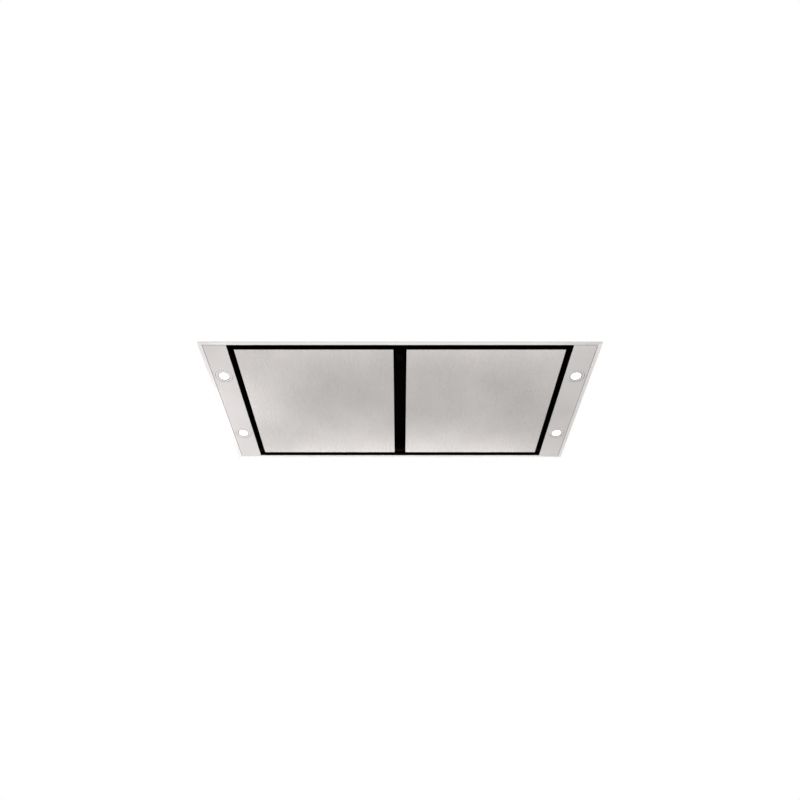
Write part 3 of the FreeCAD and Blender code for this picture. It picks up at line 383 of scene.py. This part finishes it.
# %% Rim
low, high = box_mm("trim_frame")
TRIM_T = 1.2
RIM_W = 12.5
rim = bmesh.new()
swept_round(rim, [(0.25, 0), (0, 0.25), (0, TRIM_T), (RIM_W - TRIM_T, TRIM_T), (RIM_W - TRIM_T, high.z),
                  (RIM_W, high.z), (RIM_W, 1.2), (RIM_W - 0.15, 0.6), (RIM_W - 0.55, 0.16),
                  (RIM_W - 1.1, 0)], low, high)
for face in rim.faces:
    spot = face.calc_center_median()
    inset = min(high.x - abs(spot.x), high.y - abs(spot.y))
    face.material_index = 1 if high.x - abs(spot.x) == inset else 0
    # The inner bend and the leg's outer face get the darkened fold: painted shade of the joint.
    if inset > RIM_W - 1.1:
        face.material_index = 2
piece = show(rim, "rim", "hood", "brushed_stainless_trim", ["trim_frame"],
             others=[rim_short, finishes["fold_painted_shade"]])
piece.data.materials[0] = rim_long
print("rim:", len(piece.data.polygons), "faces, opening", round(high.x - RIM_W, 1), "mm half width")

# %% [markdown]
# Some CAD nodes already have the right shape, holes included, and only lack soft shading. A
# copy of their mesh is merged first, because CAD writes loose triangles. Flat neighbours are
# then dissolved into one face, and the long outer edges can take a small radius.


# %% Light strips and other dressed sheets
def dressed(node, body, slot, edge=0.0, long_mm=20.0):
    """A merged copy of a CAD node, smooth between its folds. Long edges may be rounded."""
    bm = bmesh.new()
    bm.from_mesh(nodes[node].data)
    for face in bm.faces:
        face.material_index = 0
    bmesh.ops.scale(bm, vec=(1 / MM,) * 3, verts=bm.verts)
    bmesh.ops.remove_doubles(bm, verts=bm.verts, dist=0.002)
    bmesh.ops.dissolve_limit(bm, angle_limit=math.radians(0.5), verts=bm.verts, edges=bm.edges)
    if edge:
        sharp = [e for e in bm.edges if len(e.link_faces) == 2 and e.calc_length() > long_mm
                 and e.calc_face_angle() > math.radians(60)]
        soften(bm, sharp, edge, 2)
    return show(bm, node + "_piece", body, slot, [node])


for side in ("left", "right"):
    piece = dressed("light_strip_" + side, "hood", "brushed_stainless_trim", 0.4, 60)
    print(piece.name, len(piece.data.polygons), "faces")

# %% [markdown]
# Each lamp is a turned ring with a lens in it. The ring's flange lies flush in the strip, its
# mouth narrows like a funnel that the lens fills, and a short tube behind holds the lens.
# Turned parts are one outline and one spin. The flange's edge is rolled back by 1.3 mm, and
# that groove is the thin dark circle round each lamp. The lens glows only where the light
# source is behind it. Its outer millimetre is the unlit edge, which the ring holds through a
# silicone seal. The seal is a real part, and its dark grey also paints the shade of the gap
# between lens and ring; with the unlit edge it makes the darker circle round the light.

# %% Lamp rings and lenses
GLOW_R = 16.5
for number in range(1, 5):
    low, high = box_mm("lamp_bezel_%d" % number)
    middle = (low + high) / 2
    ring = bmesh.new()
    turned(ring, [(26.75, 1.3), (26.45, 0.8), (25.95, 0.35), (25.4, 0.07), (24.9, 0.0), (19.8, 0.0),
                  (19.2, 0.2), (18.9, 0.7), (18.8, 1.6), (15.6, 2.1), (15.25, 2.5), (15.25, high.z),
                  (16.6, high.z), (16.75, high.z - 0.2), (16.75, 2.6), (19.6, 1.9), (26.75, 1.5)],
           (middle.x, middle.y, 0), steps=72)
    show(ring, "lamp_ring_%d" % number, "hood", "satin_lamp_ring", ["lamp_bezel_%d" % number])
    low, high = box_mm("lamp_lens_%d" % number)
    lens = bmesh.new()
    turned(lens, [(0, low.z), (6, 0.16), (12, 0.34), (15.3, 0.48), (GLOW_R, 0.57), (17.2, 0.68),
                  (17.7, 1.0), (14.95, 2.3), (15.15, 2.5), (15.15, high.z - 0.3), (14.85, high.z),
                  (0, high.z)], (middle.x, middle.y, 0), steps=64)
    seal = bmesh.new()
    turned(seal, [(17.7, 1.2), (17.9, 0.8), (18.6, 0.8), (18.8, 1.2), (18.6, 1.6), (17.9, 1.6)],
           (middle.x, middle.y, 0), steps=64)
    # The seal's grey paints the shade of the gap between lens and ring.
    piece = show(seal, "lens_seal_%d" % number, "hood", "black_rubber")
    piece.data.materials[0] = finishes["lens_seal"]
    for face in lens.faces:
        face.material_index = int((face.calc_center_median().xy - middle.xy).length > GLOW_R)
    show(lens, "lamp_lens_%d_piece" % number, "hood", "lit_lens", ["lamp_lens_%d" % number],
         others=[finishes["lens_edge"]])
print("last of 4 lamps at x", round(middle.x, 1), "y", round(middle.y, 1), "mm")

# %% [markdown]
# A panel is a brushed sheet whose edges are rolled over a black backing tray. The rolled edge
# has a radius of about one and a half sheet thicknesses, and it draws the thin light line
# round the panel. A cube without its lid gets its folds rounded first and its wall last.


# %% Panels
SKIN_T = 0.8
SKIN_BEND_R = 1.2


def tray(bm, low, high, wall, radius):
    """A folded tray that is open at the top, with its wall inside the box."""
    place = Matrix.LocRotScale((low + high) / 2, None, high - low)
    bmesh.ops.create_cube(bm, size=1, matrix=place)
    bm.normal_update()
    lid = [face for face in bm.faces if face.normal.z > 0.9]
    bmesh.ops.delete(bm, geom=lid, context="FACES_ONLY")
    soften(bm, [e for e in bm.edges if len(e.link_faces) == 2], radius, 4)
    bmesh.ops.recalc_face_normals(bm, faces=bm.faces)
    floor_face = max(bm.faces, key=lambda face: face.calc_area())
    if floor_face.normal.z > 0:
        bmesh.ops.reverse_faces(bm, faces=bm.faces)
    bmesh.ops.solidify(bm, geom=list(bm.faces), thickness=wall)


for side in ("left", "right"):
    low, high = box_mm("panel_skin_" + side)
    skin = bmesh.new()
    tray(skin, low, high, SKIN_T, SKIN_BEND_R)
    piece = show(skin, "panel_%s_sheet" % side, "panel_" + side, "brushed_stainless_panel",
                 ["panel_skin_" + side])
    corners = [Vector(c) / MM for c in piece.bound_box]
    print(piece.name, "x", round(corners[0].x, 1), "to", round(corners[6].x, 1),
          "z", round(corners[0].z, 2), "to", round(corners[6].z, 2))

# %% [markdown]
# Behind the panels sit the moving and fixed parts that a cook meets when a panel is open:
# the black backing pans with their hinge pins, the nylon hinge brackets, and the filter
# frames with their latches. Their CAD shapes are right, so each becomes a merged copy with
# its long edges rounded. The black inlet round them is folded sheet and stays as it is.

# %% Filter frames, latches, backing pans and hinges
for side in ("left", "right"):
    piece = dressed("filter_frame_" + side, "hood", "filter_aluminium", 1.2, 60)
    dressed("filter_latch_" + side, "latch_" + side, "latch_steel", 0.5, 8)
    pan = dressed("panel_backing_" + side, "panel_" + side, "black_coated_steel", 0.4, 60)
    pan.data.materials.append(finishes["pan_coat"])
    # Faces that look up keep the coat's own colour; the sides and underside get the darker coat, painted
    # shade of the slot.
    for face in pan.data.polygons:
        face.material_index = int(face.normal.z > 0.9)
    pins = dressed("hinge_pins_" + side, "panel_" + side, "steel_shaft")
    pins.data.materials[0] = finishes["hinge_pins"]
for node in ("hinge_bracket_left", "hinge_bracket_right", "hinge_bracket_centre"):
    nylon = dressed(node, "hood", "black_plastic", 0.4, 8)
    # The brackets in the slot get the darker copy of the nylon: painted shade.
    nylon.data.materials[0] = finishes["hinge_nylon_painted_shade"]
print("filter frame:", len(piece.data.polygons), "faces")

# %% [markdown]
# A pot magnet is a steel cup with a ring magnet pressed in and a threaded stud behind it. Its
# face shows the cup's rim, a thin groove, and the magnet with its centre hole.

# %% Magnet catches
low, high = box_mm("magnet_catches")
MAGNET_R = 8.0
MAGNET_INNER_X = 78.8
magnets = bmesh.new()
for side in (-1, 1):
    for x in (side * (low.x + MAGNET_R), side * MAGNET_INNER_X):
        turned(magnets, [(0, 1.2), (2.0, 1.2), (2.2, 0.1), (6.2, 0.1), (6.4, 1.0), (6.9, 1.0), (7.1, 0.0),
                         (7.7, 0.0), (8.0, 0.3), (8.0, 5.7), (7.7, 6.0), (2.5, 6.0),
                         (2.5, high.z - low.z - 0.4), (2.1, high.z - low.z), (0, high.z - low.z)],
               (x, low.y + MAGNET_R, low.z), steps=32)
piece = show(magnets, "pot_magnets", "hood", "nickel_magnets", ["magnet_catches"])
print("magnets:", len(piece.data.polygons), "faces from z", round(low.z, 1))

# %% [markdown]
# The grease filters hold layers of expanded aluminium: foil that is slit and stretched into
# diamonds, which tilts every strand. A grid turned by 45 degrees and squashed gives the
# diamonds, an inset with some depth tilts the strands, the middles are deleted, and a
# thickness is added. The real diamonds are 6 mm wide. They are drawn 14 and 20 mm wide, so
# that a strand stays wider than a pixel, in two layers that half hide what is behind.


# %% Filter mesh
STRAND = 0.8
FOIL_T = 0.25


def expanded_metal(bm, low, high, wide, tall, strand, level):
    """Diamonds of wide by tall mm that fill a rectangle."""
    before = set(bm.verts)
    size = (high - low) / 2
    count = int((size.x + size.y * wide / tall / 2) / wide) + 1
    bmesh.ops.create_grid(bm, x_segments=count * 2, y_segments=count * 2, size=count * wide / math.sqrt(2))
    new = [v for v in bm.verts if v not in before]
    bmesh.ops.rotate(bm, cent=(0, 0, 0), matrix=Matrix.Rotation(math.radians(45), 3, "Z"), verts=new)
    bmesh.ops.scale(bm, vec=(1, tall / wide * 2, 1), verts=new)
    bmesh.ops.translate(bm, vec=((low.x + high.x) / 2, (low.y + high.y) / 2, level), verts=new)
    for spot, way in ((low, (-1, 0, 0)), (low, (0, -1, 0)), (high, (1, 0, 0)), (high, (0, 1, 0))):
        part = {v for v in bm.verts if v not in before}
        geom = [g for g in (*bm.verts, *bm.edges, *bm.faces) if g in part or
                not isinstance(g, bmesh.types.BMVert) and g.verts[0] in part]
        bmesh.ops.bisect_plane(bm, geom=geom, plane_co=spot, plane_no=way, clear_outer=True)
    cells = [f for f in bm.faces if f.verts[0] not in before]
    bmesh.ops.inset_individual(bm, faces=cells, thickness=strand, depth=0.4, use_even_offset=True)
    bmesh.ops.delete(bm, geom=cells, context="FACES")


for side in ("left", "right"):
    low, high = box_mm("filter_mesh_" + side)
    for layer, (wide, level) in enumerate(((14, low.z + 0.2), (20, high.z - 0.7))):
        mesh = bmesh.new()
        expanded_metal(mesh, low, high, wide, wide / 4, STRAND, level)
        bmesh.ops.solidify(mesh, geom=list(mesh.faces), thickness=FOIL_T)
        piece = show(mesh, "filter_mesh_%s_%d" % (side, layer), "hood", "filter_mesh_aluminium",
                     ["filter_mesh_" + side], crease=60)
        print(piece.name, sum(len(f.vertices) - 2 for f in piece.data.polygons), "triangles")

# %% [markdown]
# Screws and bolts are read from the CAD, so that each one sits where its hole is. The merged
# CAD mesh falls into islands, one for each screw. A screw is round, so the two sides of its
# box that are most alike lie across it, and the third is its axis. The end that holds its
# widest points is the head.


# %% Places of the screws
def fasteners(node):
    """(seat, outward direction, head radius, head height, length) of each screw of a node."""
    bm = bmesh.new()
    bm.from_mesh(nodes[node].data)
    bmesh.ops.remove_doubles(bm, verts=bm.verts, dist=0.00001)
    left, found = set(bm.verts), []
    while left:
        front = [left.pop()]
        island = list(front)
        while front:
            front = [e.other_vert(v) for v in front for e in v.link_edges if e.other_vert(v) in left]
            front = list(dict.fromkeys(front))
            left.difference_update(front)
            island += front
        spots = [v.co / MM for v in island]
        low = Vector([min(s[i] for s in spots) for i in range(3)])
        high = Vector([max(s[i] for s in spots) for i in range(3)])
        size = high - low
        axis = max(range(3), key=lambda i: min(abs(size[i] - size[j]) for j in range(3) if j != i))
        middle = (low + high) / 2
        radius = max(size[j] for j in range(3) if j != axis) / 2
        aside = [i for i in range(3) if i != axis]
        wide = [s[axis] for s in spots if math.hypot(*((s - middle)[i] for i in aside)) > radius * 0.9]
        sign = 1 if sum(wide) / len(wide) > middle[axis] else -1
        seat = middle.copy()
        seat[axis] = min(wide) if sign > 0 else max(wide)
        way = Vector([sign if i == axis else 0 for i in range(3)])
        found.append((seat, way, radius, max(wide) - min(wide), size[axis] - max(wide) + min(wide)))
    bm.free()
    return found


screws = fasteners("sheet_screws")
bolts = fasteners("bracket_bolts")
print(len(screws), "screws, head radius", round(screws[0][2], 2), "height", round(screws[0][3], 2),
      "and", len(bolts), "bolts, head radius", round(bolts[0][2], 2))

# %% [markdown]
# The sheet screws have domed heads with a cross recess. The shape is spun, the flat on top is
# drawn in to a four-pointed star, and the star is pushed down and narrowed, as the point of a
# screwdriver is. The bolts of the hanger brackets have hexagon heads on a round washer face:
# a spin in six steps is a hexagon.


# %% Screws and bolts
def cross_head(bm, seat, way, radius, height, length):
    """A domed screw with a cross recess, seated at seat with its head towards way."""
    one = bmesh.new()
    shank = radius * 0.5
    turned(one, [(0, height), (0.6 * radius, height), (0.85 * radius, 0.8 * height),
                 (radius, 0.35 * height), (radius, 0), (shank, 0), (shank, -length + 1.5),
                 (0.3, -length), (0, -length)], (0, 0, 0), (0, 0, 1), 16)
    bmesh.ops.remove_doubles(one, verts=one.verts, dist=0.001)
    flat = [f for f in one.faces if f.calc_center_median().z > height * 0.999]
    crown = bmesh.ops.dissolve_faces(one, faces=flat)["region"][0]
    bmesh.ops.inset_individual(one, faces=[crown], thickness=0.04 * radius)
    for corner, vert in enumerate(sorted(crown.verts, key=lambda v: math.atan2(v.co.y, v.co.x))):
        vert.co.xy *= (1.0, 0.5, 0.3, 0.5)[corner % 4]
    pit = bmesh.ops.extrude_face_region(one, geom=[crown])["geom"]
    low = [v for v in pit if isinstance(v, bmesh.types.BMVert)]
    bmesh.ops.scale(one, vec=(0.6, 0.6, 1), verts=low)
    bmesh.ops.translate(one, vec=(0, 0, -0.6 * height), verts=low)
    # Extruding leaves the old face behind, where it would close the recess.
    bmesh.ops.delete(one, geom=[crown], context="FACES_ONLY")
    aim = Vector((0, 0, 1)).rotation_difference(way).to_matrix().to_4x4()
    bmesh.ops.transform(one, matrix=Matrix.Translation(seat) @ aim, verts=one.verts)
    screw = bpy.data.meshes.new("screw")
    one.to_mesh(screw)
    one.free()
    bm.from_mesh(screw)
    bpy.data.meshes.remove(screw)


def hex_head(bm, seat, way, radius, height, length):
    """A bolt at seat with its hexagon head towards way."""
    turned(bm, [(0, height), (0.8 * radius, height), (radius, 0.85 * height), (radius, 0.2), (0, 0.2)],
           seat, way, 6)
    turned(bm, [(0, 0.3), (radius, 0.3), (radius, 0), (radius * 0.55, 0), (radius * 0.55, -length + 1),
                (radius * 0.4, -length), (0, -length)], seat, way, 24)


heads = bmesh.new()
for one in screws:
    cross_head(heads, *one)
piece = show(heads, "cross_head_screws", "hood", "zinc_screws", ["sheet_screws"])
print(piece.name, len(piece.data.polygons), "faces")
heads = bmesh.new()
for one in bolts:
    hex_head(heads, *one)
piece = show(heads, "hex_head_bolts", "hood", "zinc_screws", ["bracket_bolts"])
print(piece.name, len(piece.data.polygons), "faces")

# %% [markdown]
# Thin galvanised sheet drums and bends, so its walls and top have pressed beads: long rounded
# ribs, 14 mm wide, that stand 2 mm proud. Each is a spun bar with round ends that is pressed
# flat, with its middle in the sheet.

# %% Beads of the housing
BEAD_R = 7.0
BEAD_H = 2.0
# Half lengths of the beads, and their places from the middle of the face.
LONG_WALL_BEAD = 520
SHORT_WALL_BEAD = 230
WALL_BEAD_Z = (110, 210)
LONG_TOP_BEAD = 440
LONG_TOP_BEAD_Y = (-170, 170)
SHORT_TOP_BEAD = 120
SHORT_TOP_BEAD_X = (-180, 180, 430)


def bead(bm, start, end, out):
    """A flat rib with round ends from start to end on a wall whose outward axis is out."""
    start, end = Vector(start), Vector(end)
    long_mm = (end - start).length
    turns = [math.radians(a) for a in range(0, 91, 15)]
    arc = [(BEAD_R * math.sin(a), BEAD_R * (1 - math.cos(a))) for a in turns]
    outline = arc + [(radius, long_mm - height) for radius, height in reversed(arc)]
    made = turned(bm, outline, start, end - start, 24)
    for vert in made:
        vert.co[out] = start[out] + (vert.co[out] - start[out]) * BEAD_H / BEAD_R


low, high = box_mm("housing_front")
beads = bmesh.new()
wall_x, wall_y, top = abs(low.x), abs(low.y), box_mm("top_plate")[1].z
for z in WALL_BEAD_Z:
    for side in (-1, 1):
        bead(beads, (-LONG_WALL_BEAD, side * wall_y, z), (LONG_WALL_BEAD, side * wall_y, z), 1)
        bead(beads, (side * wall_x, -SHORT_WALL_BEAD, z), (side * wall_x, SHORT_WALL_BEAD, z), 0)
for y in LONG_TOP_BEAD_Y:
    bead(beads, (-LONG_TOP_BEAD, y, top), (LONG_TOP_BEAD, y, top), 2)
for x in SHORT_TOP_BEAD_X:
    bead(beads, (x, -SHORT_TOP_BEAD, top), (x, SHORT_TOP_BEAD, top), 2)
piece = show(beads, "pressed_beads", "hood", "galvanised_steel", crease=60)
print("housing beads:", len(piece.data.polygons), "faces")

# %% [markdown]
# The panels' black pans are stiffened in the same way: four beads make a frame on the inner
# face, 70 mm in from the edges. They get the satin coat without the painted shade of the slot,
# because daylight reaches them when a panel is open.

# %% Beads of the backing pans
PAN_BEAD_INSET = 70
PAN_BEAD_END = 95
for side in ("left", "right"):
    low, high = box_mm("panel_backing_" + side)
    beads = bmesh.new()
    for y in (low.y + PAN_BEAD_INSET, high.y - PAN_BEAD_INSET):
        bead(beads, (low.x + PAN_BEAD_END, y, high.z), (high.x - PAN_BEAD_END, y, high.z), 2)
    for x in (low.x + PAN_BEAD_INSET, high.x - PAN_BEAD_INSET):
        bead(beads, (x, low.y + PAN_BEAD_END, high.z), (x, high.y - PAN_BEAD_END, high.z), 2)
    piece = show(beads, "pan_beads_" + side, "panel_" + side, "black_coated_steel", crease=60)
    piece.data.materials[0] = finishes["pan_coat"]
print("pan beads:", len(piece.data.polygons), "faces")

# %% [markdown]
# The outlet on top: a moulded collar for the duct, screwed to the top plate, with a rod and
# two flaps that stop cold air from falling in. The collar's copy gets a small bead where the
# duct comes to rest, and its flange gets six screws.

# %% Duct collar and damper
COLLAR_SCREW_CIRCLE_R = 84
dressed("duct_collar", "hood", "black_plastic", 0.4, 500)
for node, body in (("damper_flap_front", "flap_front"), ("damper_flap_rear", "flap_rear")):
    dressed(node, body, "flap_plastic")
dressed("damper_rod", "hood", "steel_shaft")
low, high = box_mm("duct_collar")
stop_ring = bmesh.new()
turned(stop_ring, [(74.2, 4.0), (75.6, 4.6), (76.2, 5.6), (75.6, 6.6), (74.2, 7.2)],
       (0, 0, low.z), steps=96)
show(stop_ring, "duct_stop_bead", "hood", "black_plastic")
heads = bmesh.new()
for turn in range(6):
    angle = math.radians(30 + 60 * turn)
    seat = Vector((math.cos(angle), math.sin(angle), 0)) * COLLAR_SCREW_CIRCLE_R
    seat.z = low.z + 2
    cross_head(heads, seat, Vector((0, 0, 1)), radius=3.6, height=2.2, length=4)
show(heads, "collar_screws", "hood", "zinc_screws")
print("collar from z", round(low.z, 1), "to", round(high.z, 1))

# %% [markdown]
# The cable gland clamps the mains cable: a hexagon that is held by a spanner, and a ribbed
# dome nut that is turned by hand. The ribs come from drawing in every second point of the
# nut's grip. No cable shows in the photograph, so the gland is empty.

# %% Cable gland
low, high = box_mm("cable_gland")
middle = (low + high) / 2
gland = bmesh.new()
base = box_mm("top_plate")[1].z
turned(gland, [(5, low.z), (9.7, low.z), (9.7, base + 1), (5, base + 1)], (middle.x, middle.y, 0), steps=32)
turned(gland, [(5, low.z), (12.6, low.z), (13, low.z + 0.5), (13, low.z + 4.5), (5, low.z + 4.5)],
       (middle.x, middle.y, 0), steps=6)
turned(gland, [(5, base), (12.6, base), (13, base + 0.5), (13, base + 4.5), (12.4, base + 5),
               (5, base + 5)], (middle.x, middle.y, 0), steps=6)
grip = turned(gland, [(5, base + 5), (10.5, base + 5), (10.5, base + 13), (9.8, base + 16),
                      (8.2, base + 18.5), (6.4, high.z), (5, high.z)], (0, 0, 0), steps=48)
for vert in grip:
    if 10.4 < vert.co.xy.length < 10.6 and round(math.degrees(math.atan2(vert.co.y, vert.co.x)) / 7.5) % 2:
        vert.co.xy *= 0.93
bmesh.ops.translate(gland, vec=(middle.x, middle.y, 0), verts=grip)
piece = show(gland, "ribbed_gland", "hood", "black_plastic", ["cable_gland"], crease=25)
print("gland:", len(piece.data.polygons), "faces, bore 10 mm")

# %% [markdown]
# Inside hangs the blower: a moulded scroll, a drum wheel on a motor, and the adapter up to the
# collar. It is seen only through the filters, so smooth copies of the CAD shapes do, but the
# motor gets its real look: a pressed can in two halves with a rolled joint between them.

# %% Blower
for node in ("blower_scroll", "outlet_adapter", "motor_bracket", "blower_hangers"):
    dressed(node, "hood", {"blower_scroll": "grey_plastic", "outlet_adapter": "grey_plastic"}.get(
        node, "galvanised_steel_thick"))
dressed("impeller", "wheel", "dark_plastic")
dressed("motor_shaft", "wheel", "steel_shaft")
low, high = box_mm("motor")
middle = (low + high) / 2
can_r = (high.z - low.z) / 2
width = high.x - low.x
can = bmesh.new()
turned(can, [(4.1, 10), (4.1, 0.8), (12, 0.0), (14, 1.6), (can_r - 12, 1.6), (can_r - 4, 2.6),
             (can_r - 0.6, 7), (can_r - 0.6, width / 2 - 3), (can_r, width / 2 - 2.4),
             (can_r, width / 2 + 2.4), (can_r - 0.6, width / 2 + 3), (can_r - 0.6, width - 7),
             (can_r - 4, width - 2.6), (can_r - 12, width - 1.6), (14, width - 1.6), (12, width),
             (4.1, width)], (low.x, middle.y, middle.z), (1, 0, 0), 64)
piece = show(can, "motor_can", "hood", "painted_motor", ["motor"])
bobbins = bmesh.new()
low, high = box_mm("rubber_mounts")
for x in (low.x + 8, high.x - 8):
    for y in (low.y + 8, high.y - 8):
        turned(bobbins, [(0, 0), (7.6, 0), (8, 0.5), (8, 1.6), (6.6, 3), (6.6, 5), (8, 6.4), (8, 7.5),
                         (7.6, 8), (0, 8)], (x, y, low.z), steps=32)
show(bobbins, "rubber_bobbins", "hood", "black_rubber", ["rubber_mounts"])
print("motor can:", len(piece.data.polygons), "faces")

# %% [markdown]
# The housing's walls and the remaining small parts keep their CAD shape, with their long
# edges rounded as folded and moulded edges are.

# %% Housing and small parts
for node, slot, edge, long_mm in (
        ("housing_front", "galvanised_steel", 0.5, 60), ("housing_rear", "galvanised_steel", 0.5, 60),
        ("housing_left", "galvanised_steel", 0.5, 60), ("housing_right", "galvanised_steel", 0.5, 60),
        ("top_plate", "galvanised_steel", 0.5, 60), ("ceiling_gasket", "foam_seal", 0.8, 60),
        ("lamp_heat_sinks", "anodised_aluminium", 0.3, 15),
        ("receiver_window", "black_gloss_plastic", 0.0, 5),
        ("hanger_brackets", "galvanised_steel_thick", 0.5, 15),
        ("control_box", "galvanised_steel", 0.4, 30), ("control_lid", "galvanised_steel", 0.4, 30),
        ("terminal_block", "white_plastic", 0.4, 8)):
    dressed(node, "hood", slot, edge, long_mm)
print("dressed the housing and the small parts")

# %% [markdown]
# The room starts with a plain pale floor, 2.4 m below the ceiling. It is painted screed: dull,
# with a broad and very faint mottle. It reaches far past the picture, so no edge shows.

# %% Floor
FLOOR_Z = -2.4
floor_mesh = bmesh.new()
bmesh.ops.create_grid(floor_mesh, x_segments=1, y_segments=1, size=30,
                      matrix=Matrix.Translation((0, 0, FLOOR_Z)))
floor_data = bpy.data.meshes.new("floor")
floor_mesh.to_mesh(floor_data)
floor_mesh.free()
floor = bpy.data.objects.new("floor", floor_data)
floor_finish, floor_shader, floor_place = start_finish("pale_floor", {
    "Roughness": 0.8, "Specular IOR Level": 0.2})
floor_tree = floor_finish.node_tree
mottle = add(floor_tree, "TexNoise", {"Vector": floor_place, "Scale": 1.5, "Detail": 3.0})
feed(floor_shader, {"Base Color": add(floor_tree, "Mix", {0: mottle, 6: "E9E8E5", 7: "F0EFED"}, out=2,
                                      data_type="RGBA")})
floor_data.materials.append(floor_finish)
print("floor at", FLOOR_Z, "m")

# %% [markdown]
# The ceiling is a backdrop, a flat board just over the gasket. One face is inset from its edge
# and deleted, which leaves the opening that the rim covers. The board is white to the camera
# from below, so that it hides the housing as the real one does, and see-through to all else.

# %% Ceiling
OPENING_X = 0.592
OPENING_Y = 0.292
BOARD_W = 3.4
BOARD_Z = 0.0042
ceiling_mesh = bmesh.new()
bmesh.ops.create_grid(ceiling_mesh, x_segments=1, y_segments=1, size=1,
                      matrix=Matrix.Diagonal((OPENING_X + BOARD_W, OPENING_Y + BOARD_W, 1, 1)))
bmesh.ops.inset_region(ceiling_mesh, faces=ceiling_mesh.faces, thickness=BOARD_W, use_boundary=True,
                       use_even_offset=True)
inner = min(ceiling_mesh.faces, key=lambda face: face.calc_area())
bmesh.ops.delete(ceiling_mesh, geom=[inner], context="FACES_ONLY")
bmesh.ops.translate(ceiling_mesh, vec=(0, 0, BOARD_Z), verts=ceiling_mesh.verts)
bmesh.ops.reverse_faces(ceiling_mesh, faces=ceiling_mesh.faces)
ceiling_data = bpy.data.meshes.new("ceiling")
ceiling_mesh.to_mesh(ceiling_data)
ceiling_mesh.free()
ceiling = bpy.data.objects.new("ceiling", ceiling_data)
white_board = bpy.data.materials.new("white_ceiling_board")
white_board.use_nodes = True
board = white_board.node_tree
board.nodes.clear()
seen = add(board, "LightPath", {})
above = add(board, "NewGeometry", {}, out=6)
shown = add(board, "Math", {0: seen, 1: above}, operation="SUBTRACT", use_clamp=True)
white = add(board, "Emission", {"Color": "FFFFFF", "Strength": 1.0})
mixed = add(board, "MixShader", {0: shown, 1: add(board, "BsdfTransparent", {}), 2: white})
add(board, "OutputMaterial", {"Surface": mixed})
ceiling_data.materials.append(white_board)
for thing in (floor, ceiling):
    bpy.context.scene.collection.objects.link(thing)
print("ceiling opening", [round(v, 3) for v in ceiling_data.vertices[-1].co])

# %% [markdown]
# Soft, plain light starts with the world. It is white to the camera and in reflections, and
# lights the hood a little less, at 0.72, so that pale sheets don't clip to white.

# %% World
world = bpy.data.worlds.new("plain_studio")
bpy.context.scene.world = world
world.use_nodes = True
sky = world.node_tree
sky.nodes.clear()
path = add(sky, "LightPath", {}).node
rays = [path.outputs["Is %s Ray" % kind] for kind in ("Camera", "Glossy", "Transmission")]
direct = add(sky, "Math", {0: rays[0], 1: rays[1]}, operation="ADD")
direct = add(sky, "Math", {0: direct, 1: rays[2]}, operation="ADD", use_clamp=True)
level = add(sky, "MapRange", {"Value": direct, "To Min": 0.72, "To Max": 1.0})
add(sky, "OutputWorld", {"Surface": add(sky, "Background", {"Color": "FFFFFF", "Strength": level})})
print("world light 0.72, background 1.0")

# %% [markdown]
# Four wide lamps shine up from the floor, as bright windows and worktops do in a kitchen. The
# face mirrors that part of the room, softly blurred, so each sheet grows lighter towards a
# lamp. Their places and watts were found by comparing the panels' and strips' brightness with
# the photograph's.


# %% Lamps
LAMP_Z = FLOOR_Z + 0.1


def soft_lamp(name, x, y, size, watts):
    """A lamp of size (x, y) metres that shines straight up."""
    data = bpy.data.lights.new(name, "AREA")
    data.shape = "RECTANGLE"
    data.size, data.size_y = size
    data.energy = watts
    lamp = bpy.data.objects.new(name, data)
    lamp.location = (x, y, LAMP_Z)
    lamp.rotation_euler = (math.pi, 0, 0)
    lamp.visible_camera = False
    bpy.context.scene.collection.objects.link(lamp)


soft_lamp("lamp_near", 0, 1.6, (2.8, 0.5), 6.5)
soft_lamp("lamp_far", 0, 4.2, (3.6, 0.5), 23.5)
soft_lamp("lamp_left", -2.1, 3.05, (1.0, 0.8), 6.8)
soft_lamp("lamp_right", 2.5, 3.0, (1.2, 1.8), 2.6)
bpy.context.scene.view_settings.view_transform = "Standard"
